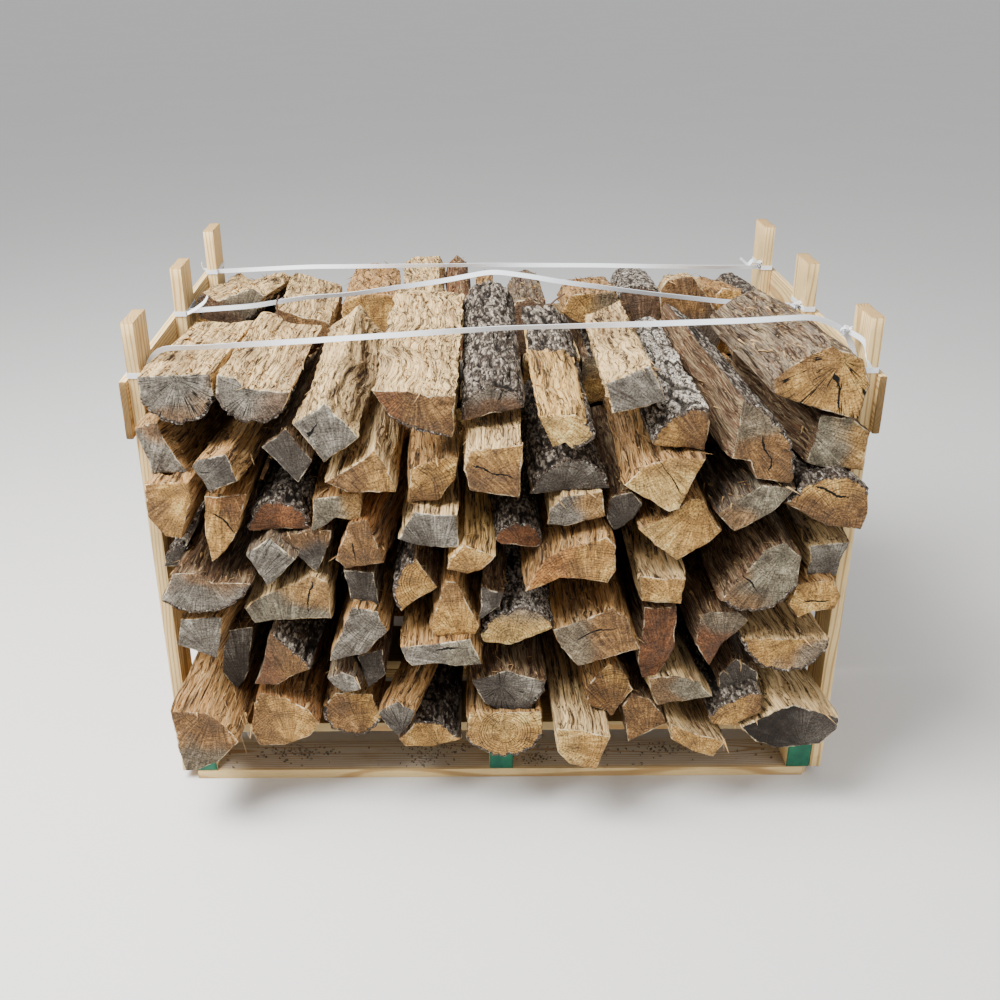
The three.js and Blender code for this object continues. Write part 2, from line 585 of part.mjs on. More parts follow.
// The back row and the smaller splits of the front row are one solid of their form.
function addRestOfStack(taken) {
  const random = fixedNumbers(BACK_ROW_SEED);
  const backRow = [...packedSplits(random), ...topSplits()].map(({ outline, front, far }) =>
    logSolid(outline, front, SPLIT_LENGTH, { far }));
  const frontRow = SMALL_SPLITS.map((split) => {
    const length = BACK_ROW_START + BACK_ROW_STAGGER + split.out;
    const far = split.far.map((drift) => (drift * length) / SPLIT_LENGTH);
    return logSolid(outlineOf(split), -split.out, length, { far });
  });
  let solid = [...backRow, ...frontRow].reduce((joined, split) => joined.add(split));
  for (const other of taken) solid = solid.subtract(other);
  add("small_splits_and_back_row", geometryOf(largestBody(solid)), COLOURS.mixed);
}

addPallet();
addPosts();
addStraps();
addRestOfStack(addSplits());
group.position.set(0, -CRATE_DEPTH / 2, 0);

const crateOfFirewood = new THREE.Group();
crateOfFirewood.add(group);

export default crateOfFirewood;
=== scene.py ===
"""A small pallet crate of split firewood, held by three flat straps."""
import json
import math
from functools import partial

import bpy
import numpy as np
from bpy.props import FloatProperty, FloatVectorProperty, IntProperty, PointerProperty
from mathutils import Matrix, Vector

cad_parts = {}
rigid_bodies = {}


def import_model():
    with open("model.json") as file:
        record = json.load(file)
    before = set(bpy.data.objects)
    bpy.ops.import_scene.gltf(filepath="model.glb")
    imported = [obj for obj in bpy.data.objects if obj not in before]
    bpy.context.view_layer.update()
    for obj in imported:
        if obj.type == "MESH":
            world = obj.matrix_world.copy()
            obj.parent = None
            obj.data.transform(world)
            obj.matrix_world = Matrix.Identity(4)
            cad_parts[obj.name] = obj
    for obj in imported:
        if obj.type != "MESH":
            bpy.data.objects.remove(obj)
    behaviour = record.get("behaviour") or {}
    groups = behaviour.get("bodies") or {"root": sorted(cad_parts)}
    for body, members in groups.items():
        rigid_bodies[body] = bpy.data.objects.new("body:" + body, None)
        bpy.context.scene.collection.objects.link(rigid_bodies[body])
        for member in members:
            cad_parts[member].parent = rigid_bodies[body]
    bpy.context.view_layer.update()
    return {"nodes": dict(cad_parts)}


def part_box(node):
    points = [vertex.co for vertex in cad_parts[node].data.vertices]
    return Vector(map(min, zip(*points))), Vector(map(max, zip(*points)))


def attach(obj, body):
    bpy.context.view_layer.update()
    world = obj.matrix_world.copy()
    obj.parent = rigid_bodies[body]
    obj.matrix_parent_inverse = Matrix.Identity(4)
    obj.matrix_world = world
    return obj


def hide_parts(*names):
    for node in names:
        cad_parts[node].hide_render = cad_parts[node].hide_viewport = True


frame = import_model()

bl_info = {
    "name": "Crate of Firewood",
    "version": (1, 0, 0),
    "blender": (4, 5, 0),
    "location": "View3D > Sidebar > Firewood",
    "description": "Builds a slatted pallet crate filled with split firewood and held by flat straps",
    "category": "Add Mesh",
}

MM = 0.001
BODY = "root"
REST_OF_STACK = "small_splits_and_back_row"

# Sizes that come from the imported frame.
DECK_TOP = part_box("deck_board_1")[1].z
FRONT_OF_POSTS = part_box("post_left_front")[0].y
INNER_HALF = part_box("stringer_right")[1].x

# The ends of the smaller splits are drawn as seen on one upright plane in front of the posts, in
# millimetres from the posts' front. EYE is where they are seen from.
DRAWN_PLANE = -90
EYE = (-87, -1798, 1424)
SPLIT_LENGTH = 408
BACK_ROW_START = 350
BACK_ROW_STAGGER = 34


def linear(hex_colour):
    """The linear RGB of an sRGB colour given as a hex value."""
    channels = [(hex_colour >> shift & 255) / 255 for shift in (16, 8, 0)]
    return tuple(c / 12.92 if c <= 0.04045 else ((c + 0.055) / 1.055) ** 2.4 for c in channels)


def colour_property(name, description, hex_colour):
    return FloatVectorProperty(name=name, description=description, subtype="COLOR", size=3,
                               min=0, max=1, default=linear(hex_colour))


def length_property(name, description, metres):
    return FloatProperty(name=name, description=description, default=metres, min=0, unit="LENGTH",
                         precision=4)


class FirewoodTones(bpy.types.PropertyGroup):
    """Colours of the wood and bark."""

    grey: colour_property("Grey", "Weathered sawn end", 0x787165)
    # Besides wood that is dark of its own, this tone serves as painted shade on the ends of the small splits
    # that lie back in the stack.
    dark: colour_property("Dark", "Wet or shaded weathered wood", 0x4B463F)
    olive: colour_property("Olive", "Greenish grey weathered wood", 0x776E5A)
    brown: colour_property("Brown", "Brown heartwood end", 0x7B5935)
    rust: colour_property("Rust", "Reddish brown heartwood", 0x6E462B)
    tan: colour_property("Tan", "Fresh sawn end", 0xB8894A)
    cream: colour_property("Cream", "Sapwood end", 0xDAAE66)
    pale: colour_property("Pale", "Freshly split face in the light", 0xEDC88C)
    honey: colour_property("Honey", "Split face of sound wood", 0xB98A50)
    orange: colour_property("Orange", "Warm split face", 0xB0763E)
    umber: colour_property("Umber", "Dark split face", 0x614A37)
    ash: colour_property("Ash", "Weathered split face", 0x6F6355)
    wet: colour_property("Wet", "Nearly black weathered end", 0x141210)
    bark: colour_property("Bark", "Furrowed bark", 0x72675B)
    lichen: colour_property("Lichen", "White crust on bark", 0xE2D8C8)


class FirewoodSizes(bpy.types.PropertyGroup):
    """Surface sizes of the splits."""

    fibre_depth: length_property("Fibre depth", "Height of torn fibres on a split face", 0.0023)
    wave_depth: length_property("Wave depth", "Height of the waves in curly grain", 0.003)
    bark_depth: length_property("Bark depth", "Depth of the furrows in the bark", 0.006)
    rim: length_property("Bark rim", "Thickness of the bark where it shows on an end", 0.0045)


class FirewoodCrate(bpy.types.PropertyGroup):
    """Looks of the crate, the straps and the loose bits."""

    edge_round: length_property("Worn edge", "Radius of the worn edges of the boards", 0.0016)
    strap_wide: length_property("Strap width", "Width of the flat strap", 0.0092)
    strap_thick: length_property("Strap thickness", "Thickness of the flat strap", 0.0009)
    pine: colour_property("Pine", "Sawn softwood boards", 0xEACB90)
    pine_line: colour_property("Growth line", "Dark growth lines in the boards", 0x9C6C34)
    paint: colour_property("Paint", "Green paint on the stringer ends", 0x16694A)
    strap: colour_property("Strap", "White flat band", 0xEFF3F8)
    crumbs: IntProperty(name="Bark crumbs", description="Number of crumbs per square metre of board",
                        default=5200, min=0)
    splinters: IntProperty(name="Splinters", description="Number of splinters per square metre of split",
                           default=900, min=0)


class FirewoodStage(bpy.types.PropertyGroup):
    """Floor and lights."""

    floor: colour_property("Floor", "Pale floor", 0xE9E7E3)
    key: FloatProperty(name="Key light", description="Power of the key light", default=275, unit="POWER")
    fill: FloatProperty(name="Fill light", description="Power of the fill light", default=24, unit="POWER")
    sky: FloatProperty(name="Sky", description="Strength of the light from all round", default=0.7)


def tone(name):
    return np.array(getattr(bpy.context.scene.firewood_tones, name))


# Each split's looks. end and side name tones, and second a further tone of the end with the direction
# towards which it lies. bark is the arc of directions that its barked sides face, and bark_beyond has
# where bark starts further back, in millimetres from the front, and its arc. Directions are in degrees
# from the right. pith is the centre of the rings and crack the two ends of the main crack, in shares of
# the end's half size from its middle, and with knot the crack starts at a knot hole. The strength of
# the rings, drying checks, lichen, torn fibres (frayed) and curly grain (wavy) goes from 0 to 1.
LOOKS = {
    "half_round_01": dict(end="grey", second=("brown", 300), side="pale", bark=(188, 352), pith=(0.05, 0.8),
                          checks=1.0, frayed=1.0),
    "half_round_02": dict(end="grey", second=("umber", 300), side="pale", bark=(185, 330),
                          pith=(0.0, 0.6), checks=0.8, frayed=0.8, lichen=0.5),
    "square_split_03": dict(end="grey", side="pale", pith=(0.4, -1.6), crack=(-0.55, -0.15, -0.2, 0.4),
                            wavy=0.7),
    "quarter_split_04": dict(end="brown", second=("rust", 180), side="pale", bark=(225, 275),
                             pith=(-0.2, 1.2), wavy=1.0, rings=0.7, frayed=1.0),
    "round_log_05": dict(end="umber", second=("grey", 90), side="bark", bark=(0, 184), pith=(0.1, -0.7),
                         crack=(0.1, 0.1, 0.35, 0.75), rings=1.0, lichen=0.2),
    "split_log_06": dict(end="cream", side="cream", bark=(295, 400), pith=(-1.2, 1.4), wavy=0.3,
                         bark_beyond=(225, 40, 160)),
    "square_split_07": dict(end="grey", side="pale", pith=(1.5, -1.5), wavy=0.8),
    "wedge_split_08": dict(end="brown", second=("tan", 200), side="bark", bark=(10, 165), pith=(0.9, -1.0),
                           lichen=1.0),
    "half_round_09": dict(end="brown", second=("olive", 135), side="umber", bark=(-5, 85),
                          pith=(-0.7, 0.3), crack=(-0.1, 0.2, 0.3, -0.8)),
    "large_split_10": dict(end="tan", second=("brown", 120), side="ash", pith=(0.05, 0.6),
                           crack=(0.28, 0.15, 0.42, -0.95), checks=1.0, knot=True),
    "split_11": dict(end="grey", second=("brown", 45), side="honey", pith=(-1.0, -1.6)),
    "square_split_12": dict(end="dark", second=("grey", 200), side="honey", pith=(-1.4, -1.0),
                            crack=(-0.7, 0.1, -0.2, 0.2)),
    "wedge_split_14": dict(end="brown", second=("tan", 0), side="pale", pith=(0.5, -2.0), rings=0.6),
    "split_15": dict(end="tan", second=("brown", 250), side="honey", pith=(-1.2, -0.8), rings=0.8),
    "square_split_16": dict(end="brown", second=("tan", 90), side="pale", pith=(1.5, -1.8),
                            crack=(-0.8, 0.15, 0.9, -0.3)),
    "half_round_17": dict(end="dark", second=("grey", 90), side="umber", bark=(8, 172), pith=(0, -0.9),
                          rings=1.0),
    "wedge_split_18": dict(end="cream", second=("tan", 90), side="honey", pith=(-0.8, 1.4),
                           crack=(-0.15, 0.9, 0.45, -0.5)),
    "split_19": dict(end="olive", second=("tan", 0), side="umber", pith=(-1.5, 0.9)),
    "quarter_split_20": dict(end="olive", second=("brown", 240), side="dark", pith=(0.6, 1.6)),
    "split_22": dict(end="tan", second=("brown", 180), side="honey", pith=(1.4, 0.8)),
    "wedge_split_23": dict(end="tan", second=("rust", 60), side="honey", pith=(0.2, 1.5),
                           crack=(-0.6, 0.5, 0.5, -0.2)),
    "half_round_24": dict(end="rust", side="bark", bark=(8, 176), pith=(0, -0.5), rings=0.8),
    "split_26": dict(end="grey", second=("dark", 225), side="pale", pith=(0.3, -2.0)),
    "round_log_28": dict(end="brown", second=("tan", 90), side="umber", bark=(20, 160), pith=(0.1, -0.7),
                         rings=1.0, crack=(-0.4, 0.5, 0.7, 0.1)),
    "split_29": dict(end="tan", second=("cream", 180), side="honey", pith=(0.3, 0.9)),
    "square_split_30": dict(end="grey", side="ash", pith=(-1.4, -1.4), checks=0.7),
    "horn_split_36": dict(end="orange", second=("tan", 0), side="honey", pith=(0.2, -2.2), rings=0.9),
    "half_round_38": dict(end="olive", second=("brown", 190), side="umber", bark=(215, 330),
                          pith=(0.2, 0.7), crack=(-0.5, 0.2, 0.1, -0.5), knot=True),
    "half_round_40": dict(end="grey", second=("brown", 80), side="umber", bark=(195, 345),
                          pith=(0.3, 1.2)),
    "wedge_split_42": dict(end="tan", side="umber", bark=(120, 235), pith=(0.9, 0.1), rings=0.9),
    "slab_split_44": dict(end="olive", second=("tan", 60), side="pale", pith=(-0.5, -2.2),
                          crack=(0.62, 0.9, 0.5, -0.7)),
    "half_round_46": dict(end="cream", second=("grey", 90), side="bark", bark=(10, 168), pith=(0, -0.7),
                          rings=1.0, lichen=0.8),
    "quarter_split_47": dict(end="brown", second=("olive", 180), side="honey", pith=(0.8, -1.6),
                             crack=(-0.5, -0.1, 0.5, 0.35)),
    "half_round_55": dict(end="tan", second=("grey", 330), side="pale", bark=(185, 352), pith=(0.1, 0.9),
                          frayed=1.0),
    "split_56": dict(end="dark", second=("grey", 45), side="umber", bark=(315, 400), pith=(-0.2, 0.3),
                     checks=0.8),
    "large_split_61": dict(end="brown", second=("olive", 250), side="honey", pith=(0.6, 1.2), rings=0.7),
    "round_log_66": dict(end="tan", second=("cream", 90), side="honey", bark=(190, 350), pith=(0, 0.1),
                         rings=1.0, checks=0.6),
    "split_67": dict(end="tan", second=("cream", 180), side="pale", pith=(-1.5, 0.4)),
}

# The smaller splits of the front row: how far each stands out, how its far end drifts, its end's
# corners as [x, z] clockwise from the front, a third number bowing the side that starts there, and
# its looks as above.
# Most of the small splits that stand out least have the dark tone on their ends and umber on their sides:
# painted shade.
SMALL_SPLITS = [
    (80, (20, 6), [(-394, 724), (-351, 757), (-311, 700), (-338, 661)], dict(end="dark", side="umber")),
    (86, (-4, 6), [(-316, 634), (-237, 643), (-238, 590), (-275, 600), (-300, 583), (-323, 571)],
     dict(end="olive", second=("tan", 0), side="honey")),
    (95, (6, 4), [(66, 612), (90, 634), (155, 643), (161, 597), (130, 586), (98, 578), (63, 581)],
     dict(end="grey", second=("tan", 0), side="pale")),
    (70, (0, 0), [(164, 635), (200, 642), (222, 620), (210, 590), (173, 566), (163, 595)],
     dict(end="dark", side="umber")),
    (79, (20, 4), [(-372, 562), (-335, 580), (-288, 575), (-300, 530), (-318, 495), (-345, 525)],
     dict(end="dark", second=("brown", 90), side="umber")),
    (96, (60, 4), [(-262, 590), (-228, 597), (-203, 512), (-270, 503), (-285, 520)],
     dict(end="brown", side="orange", crack=(-0.3, 0.1, -0.2, -0.8))),
    (118, (14, 30), [(-98, 522), (-72, 551), (-17, 524), (-38, 500), (-65, 491), (-101, 500)],
     dict(end="tan", side="cream")),
    (71, (0, 30), [(60, 541), (-12, 545), (-22, 556, 40)], dict(end="rust", side="bark", bark=(10, 170))),
    (60, (0, 10), [(64, 578), (128, 575), (132, 552), (120, 546), (66, 542)],
     dict(end="dark", side="umber")),
    (105, (0, 20), [(221, 487), (303, 480), (297, 430), (228, 437)],
     dict(end="tan", side="pale", frayed=0.8)),
    (61, (-10, 24), [(499, 541), (568, 548), (558, 510), (553, 482), (496, 482), (501, 510)],
     dict(end="grey", side="pale")),
    (75, (14, 0), [(-273, 501), (-222, 498), (-215, 434), (-264, 437)], dict(end="dark", side="umber")),
    (100, (10, 6), [(-103, 482), (-84, 480), (-46, 390), (-52, 374), (-80, 368), (-120, 371), (-132, 385)],
     dict(end="tan", second=("brown", 90), side="honey")),
    (94, (24, 34), [(-43, 471), (-2, 456), (-8, 425), (-47, 400)], dict(end="dark", side="umber")),
    (81, (0, 4), [(233, 428), (291, 426), (293, 342), (280, 313), (262, 287), (240, 284), (229, 318)],
     dict(end="rust", side="umber")),
    (84, (-24, 10),
     [(330, 410), (349, 418), (395, 416), (414, 399), (395, 372), (371, 345), (355, 305), (327, 350)],
     dict(end="rust", second=("olive", 90), side="umber")),
    (87, (-6, 4), [(489, 468), (551, 478), (567, 442), (560, 418), (520, 414), (496, 402), (477, 430)],
     dict(end="tan", side="honey", crack=(-0.5, -0.2, 0.7, -0.1))),
    (90, (70, 6), [(-556, 409), (-482, 411), (-499, 327), (-535, 345), (-565, 357)],
     dict(end="grey", side="honey")),
    (91, (30, 8), [(-404, 386), (-333, 308), (-398, 274), (-440, 275), (-425, 300)],
     dict(end="brown", second=("rust", 200), side="bark", bark=(-60, 60))),
    (101, (24, 6), [(-262, 432), (-215, 425), (-203, 380), (-240, 338), (-306, 320), (-300, 345)],
     dict(end="grey", side="honey", rings=0.8, pith=(0.9, 0.9))),
    (115, (4, 20),
     [(-183, 350), (-112, 358), (-60, 366), (-40, 312), (-85, 309), (-138, 318), (-156, 302), (-173, 325)],
     dict(end="grey", second=("olive", 0), side="honey", crack=(-0.2, 0.2, 0.6, 0.25))),
    (97, (10, 4), [(-313, 288), (-285, 302), (-262, 290), (-250, 262), (-282, 251), (-303, 268)],
     dict(end="grey", side="ash")),
    (82, (-40, 16),
     [(160, 295), (180, 315), (205, 300), (227, 258), (205, 228), (193, 205), (173, 200), (145, 232),
      (140, 260)], dict(end="brown", second=("tan", 40), side="honey", rings=0.7)),
    (88, (-30, 10), [(250, 283), (300, 291), (340, 275), (367, 243), (270, 222), (257, 250)],
     dict(end="olive", second=("brown", 200), side="pale")),
    (98, (-24, 24), [(362, 197), (385, 228), (410, 240), (452, 258), (461, 209), (406, 181), (372, 185)],
     dict(end="tan", second=("brown", 0), side="bark", bark=(60, 170), rings=0.8)),
    (89, (20, 30),
     [(-443, 230), (-430, 256), (-385, 247), (-345, 222), (-328, 190), (-345, 165), (-395, 142),
      (-440, 142), (-455, 172)],
     dict(end="tan", second=("brown", 180), side="orange", frayed=0.6, rings=0.7)),
    (58, (6, 16), [(-320, 232), (-298, 258), (-232, 255), (-218, 205, 56)],
     dict(end="brown", second=("tan", 30), side="honey", bark=(180, 340), rings=0.9)),
    (110, (110, 50), [(-226, 213), (-210, 228), (-188, 240), (-157, 216), (-165, 190), (-190, 164),
                      (-206, 178)], dict(end="dark", second=("grey", 45), side="honey", checks=0.7)),
    (77, (10, 4), [(-190, 155), (-160, 193), (-112, 192), (-95, 175), (-74, 155), (-127, 138),
                   (-178, 140)], dict(end="tan", side="bark", bark=(30, 120))),
    (83, (-6, 8), [(207, 225), (222, 252), (255, 238), (280, 210), (289, 187), (222, 145)],
     dict(end="brown", side="umber")),
    (109, (-50, 16), [(297, 186), (310, 176), (399, 146), (378, 114), (340, 122), (296, 152)],
     dict(end="tan", side="pale", frayed=0.8)),
    (102, (-70, 30),
     [(421, 176), (511, 228), (568, 204), (596, 196), (597, 172), (569, 140), (489, 130), (450, 144)],
     dict(end="wet", second=("dark", 0), side="pale", frayed=1.0)),
    (20, (20, 10), [(-575, 508), (-555, 545), (-530, 560), (-515, 530), (-514, 508)],
     dict(end="dark", side="bark", bark=(0, 180))),
    (40, (30, 10), [(-482, 385), (-432, 392), (-446, 300), (-470, 262), (-494, 300)],
     dict(end="dark", side="umber")),
    (59, (10, 10), [(-258, 333), (-212, 345), (-205, 292), (-240, 264)], dict(end="dark", side="umber")),
    (62, (-20, 24), [(372, 292), (400, 322), (440, 296), (447, 268), (400, 250), (375, 262)],
     dict(end="dark", side="umber")),
]

# The top splits of the back row, each end drawn where it stands, with its front, drift and looks.
TOP_OF_BACK_ROW = [
    (400, (4, -66), [(-580, 815), (-571, 849), (-550, 832), (-528, 836), (-470, 853), (-448, 838),
                     (-469, 802), (-520, 770), (-572, 790)],
     dict(end="umber", second=("olive", 30), side="pale", bark=(120, 330))),
    (391, (0, -30), [(-470, 706), (-466, 760), (-440, 798), (-422, 790), (-415, 706)],
     dict(end="umber", side="umber")),
    (395, (-12, -30), [(-430, 816), (-324, 785), (-326, 750), (-364, 738), (-399, 706), (-420, 712)],
     dict(end="brown", side="pale")),
    (410, (-12, -38), [(-306, 800), (-294, 828), (-267, 837), (-212, 838), (-191, 822), (-197, 770),
                       (-230, 706), (-285, 706)], dict(end="tan", side="honey", wavy=0.5)),
    (416, (-4, 12), [(-189, 790), (-170, 803), (-112, 804), (-99, 780), (-105, 706), (-180, 706)],
     dict(end="tan", side="pale", wavy=0.8)),
    (430, (0, 14), [(-102, 706), (-100, 780), (-76, 801), (-50, 780), (-46, 706)],
     dict(end="rust", side="rust")),
    (430, (12, -30), [(-48, 706), (-44, 795), (-20, 808), (-6, 800), (-8, 706)],
     dict(end="tan", side="honey")),
    (412, (16, -44), [(20, 706), (23, 800), (37, 822), (62, 828), (94, 815), (102, 780), (100, 706)],
     dict(end="umber", side="ash", frayed=0.6)),
    (404, (30, -74), [(121, 800), (135, 829), (150, 838), (226, 841), (240, 815), (213, 792),
                      (186, 768), (150, 780)], dict(end="tan", second=("olive", 0), side="honey")),
    (430, (40, -62), [(234, 706), (236, 820), (255, 845), (300, 842), (322, 828), (325, 706)],
     dict(end="umber", side="bark", bark=(20, 170), lichen=0.7)),
    (404, (70, -92), [(330, 706), (311, 836), (322, 862), (350, 866), (374, 868), (412, 822), (447, 775),
                      (430, 706)], dict(end="brown", second=("dark", 320), side="pale")),
    (420, (38, -84), [(430, 706), (424, 830), (436, 844), (471, 840), (512, 800), (540, 706)],
     dict(end="tan", side="honey", bark=(-30, 50))),
    (410, (0, -40), [(513, 706), (513, 796), (530, 812), (560, 810), (572, 706)],
     dict(end="umber", side="bark", bark=(30, 150))),
]

# The rest of the back row is packed under them by a rule, with fixed random numbers.
BACK_ROW_SHELF = 720
BACK_COLUMNS = 10
BACK_LAYERS = 6
BACK_ROW_SIDE_ROOM = 8
LAYER_SHIFT = 0.25
SITE_SPREAD = (0.55, 0.5)
BACK_ROW_SEED = 7
GAP = 0.4
PACKED_SIZE = 0.965
PACKED_LOOKS_SEED = 5
PACKED_ENDS = ("tan", "brown", "grey", "olive", "rust", "cream", "tan", "brown")
PACKED_SIDES = ("honey", "ash", "pale", "umber", "honey")


# Shapes are worked out in millimetres in the frame of the photo's fit, with the posts' front at y 0.

def fixed_numbers(seed):
    """A fixed run of numbers between 0 and 1, the same as the one that packs the back row."""
    state = seed
    while True:
        state = state * 16807 % 2147483647
        yield state / 2147483647


def lattice(cell, seed):
    """A fixed number between -1 and 1 for each whole-number place."""
    value = cell[..., 0] * 374761393 + cell[..., 1] * 668265263 + cell[..., 2] * 1274126177
    value = (value + seed * 144269504) & 0xFFFFFFFF
    value = ((value ^ value >> 13) * 1103515245) & 0xFFFFFFFF
    return (value ^ value >> 16) / 0x7FFFFFFF - 1


def lumps(points, size, seed=0):
    """Smooth noise between -1 and 1 at each point, with lumps of the given size along x, y and z."""
    scaled = points / np.array(size, float)
    cell = np.floor(scaled).astype(np.int64)
    share = scaled - cell
    share = share * share * (3 - 2 * share)
    total = 0
    for corner in np.ndindex(2, 2, 2):
        weight = np.where(corner, share, 1 - share).prod(-1)
        total = total + weight * lattice(cell + np.array(corner), seed)
    return total


def step(low, high, value):
    """0 below low, 1 above high and a smooth change between them."""
    share = np.clip((value - low) / (high - low), 0, 1)
    return share * share * (3 - 2 * share)


def triangles_of(node, turn=0):
    """The triangles of a CAD node in millimetres. A turn of its axes makes y the long one."""
    obj = frame["nodes"][node]
    obj.data.calc_loop_triangles()
    points = np.array([obj.matrix_world @ v.co for v in obj.data.vertices])
    points[:, 1] -= FRONT_OF_POSTS
    corners = np.array([t.vertices[:] for t in obj.data.loop_triangles])
    return np.roll(points / MM, turn, axis=1)[corners]


# The least radius of a ring, and the number of directions in which an open centre is looked for.
LEAST = 1.5
FAN = 24

# A corner is where an outline seen in this many directions turns by more than CORNER_TURN radians
# within CORNER_STEPS of them, and more than within NEAR_CORNER of them on both sides. Where it is worn
# it is drawn in by this share of the worn edge's radius.
DIRECTIONS = 720
CORNER_STEPS = 3
CORNER_TURN = 0.35
NEAR_CORNER = 8
CORNER_DRAWN_IN = 0.42


def section(triangles, y):
    """The pieces of outline in which the plane at y cuts the triangles, as pairs of x and z."""
    side = triangles[:, :, 1] - y
    above = side > 0
    cut = above.any(1) & ~above.all(1)
    corners, side, above = triangles[cut], side[cut], above[cut]
    row = np.arange(len(corners))
    lone = np.where(above.sum(1) == 1, above.argmax(1), (~above).argmax(1))
    ends = []
    for offset in (1, 2):
        other = (lone + offset) % 3
        share = side[row, lone] / (side[row, lone] - side[row, other])
        across = corners[row, other] - corners[row, lone]
        ends.append((corners[row, lone] + across * share[:, None])[:, [0, 2]])
    return np.stack(ends, 1)


def crossings(origin, directions, pieces):
    """How far each direction from the origin runs before it crosses each piece of outline."""
    near = pieces[:, 0] - origin
    along = pieces[:, 1] - pieces[:, 0]
    dx, dz = directions[:, :1], directions[:, 1:]
    with np.errstate(divide="ignore", invalid="ignore"):
        turn = dx * along[:, 1] - dz * along[:, 0]
        length = (near[:, 0] * along[:, 1] - near[:, 1] * along[:, 0]) / turn
        place = (near[:, 0] * dz - near[:, 1] * dx) / turn
    length[~((place >= 0) & (place <= 1) & (length > 1e-6))] = np.inf
    return length


def reach(origin, directions, pieces):
    """The distance to the first piece of outline in each direction, or nearly none from outside."""
    if not len(pieces):
        return np.full(len(directions), LEAST)
    probe = np.array([[0.8, 0.6], [-0.28, 0.96]])
    inside = (np.isfinite(crossings(origin, probe, pieces)).sum(1) % 2).all()
    length = crossings(origin, directions, pieces).min(1)
    return np.where(np.isfinite(length) & inside, np.maximum(length, LEAST), LEAST)


def directions_at(angles):
    return np.stack([np.cos(angles), np.sin(angles)], 1)


def open_centre(pieces):
    """The point inside an outline from which most of it can be seen."""
    low, high = pieces.min((0, 1)), pieces.max((0, 1))
    fan = directions_at(np.arange(FAN) * 2 * math.pi / FAN)
    best, best_score = (low + high) / 2, 0
    for across in np.linspace(0.12, 0.88, 11):
        for up in np.linspace(0.12, 0.88, 11):
            point = low + (high - low) * (across, up)
            length = reach(point, fan, pieces)
            score = (length ** 2).mean() + 0.6 * length.min() ** 2
            if length.max() > LEAST and score > best_score:
                best, best_score = point, score
    return best


def loop_pieces(outline):
    return np.stack([outline, np.roll(outline, -1, 0)], 1)


def line_of_sight(point, front):
    """Where a point of the drawn plane lies on the line of sight at another front."""
    share = (front - EYE[1]) / (DRAWN_PLANE - EYE[1])
    return EYE[0] + (point[0] - EYE[0]) * share, EYE[2] + (point[1] - EYE[2]) * share


def bowed(end, place, segments=9):
    """The outline of an end, anticlockwise, with an arc where a side is bowed."""
    points = []
    for here, after in zip(end, end[1:] + end[:1]):
        a, b = np.array(place(here)), np.array(place(after))
        points.append(a)
        if len(here) > 2:
            chord = np.linalg.norm(b - a)
            out = np.array([a[1] - b[1], b[0] - a[0]]) / chord
            for share in np.arange(1, segments) / segments:
                half = 2 * share - 1
                radius = chord ** 2 / (8 * here[2]) + here[2] / 2
                rise = math.sqrt(max(radius ** 2 - (half * chord / 2) ** 2, 0)) - radius + here[2]
                points.append(a + (b - a) * share + out * rise)
    return np.array(points[::-1])


def places_along(length, fine, coarse, growth=1.09):
    """Distances from the front end, close together there and wider apart towards the back."""
    places, gap = [0.0], fine
    while places[-1] + 1.5 * gap < length:
        places.append(places[-1] + gap)
        gap = min(gap * growth, coarse)
    return np.array(places + [length])


def angles_round(centre, pieces, spacing, worn=0.0):
    """Directions to points spread evenly along an outline, its corners among them.

    Also gives how far each of them is drawn in, so that a corner is worn round.
    """
    fan = np.linspace(-math.pi, math.pi, DIRECTIONS + 1)[:-1]
    length = reach(centre, directions_at(fan), pieces)
    points = directions_at(fan) * length[:, None]
    ahead = np.roll(points, -CORNER_STEPS, 0) - points
    behind = points - np.roll(points, CORNER_STEPS, 0)
    turn = np.abs(np.arctan2(behind[:, 0] * ahead[:, 1] - behind[:, 1] * ahead[:, 0],
                             (behind * ahead).sum(1)))
    near = np.stack([np.roll(turn, shift) for shift in range(-NEAR_CORNER, NEAR_CORNER + 1)]).max(0)
    corners = fan[(turn > CORNER_TURN) & (turn >= near)]
    stretch = np.linalg.norm(np.roll(points, -1, 0) - points, axis=1)
    so_far = np.concatenate([[0], np.cumsum(stretch)])
    count = max(int(so_far[-1] / spacing), 10)
    even = np.interp(np.arange(count) / count * so_far[-1], so_far, np.append(fan, math.pi))
    if len(corners):
        apart = np.abs((even[:, None] - corners + math.pi) % (2 * math.pi) - math.pi).min(1)
        even = even[apart > 0.6 * spacing / max(length.mean(), 1)]
    drawn_in = np.concatenate([np.zeros(len(even)), np.full(len(corners), CORNER_DRAWN_IN * worn)])
    angles = np.concatenate([even, corners])
    if worn:
        beside = np.concatenate([corners - worn / length.mean(), corners + worn / length.mean()])
        angles = np.concatenate([angles, beside])
        drawn_in = np.concatenate([drawn_in, np.zeros(len(beside))])
    order = np.argsort(angles)
    return angles[order], drawn_in[order]


# The rings of an end: how far in from the rim the outer ones lie, and the inner ones' shares.
CAP_INSETS = np.array([1.5, 4.0, 7.5])
CAP_SHARES = np.array([0.82, 0.64, 0.46, 0.29, 0.13])


def cap_radii(rim):
    """The radii of the rings of an end, from the rim inwards."""
    inner = np.maximum(rim - CAP_INSETS[-1], 0.5 * rim)
    outer = [rim - (rim - inner) * inset / CAP_INSETS[-1] for inset in CAP_INSETS]
    return np.array(outer + [inner * share for share in CAP_SHARES])


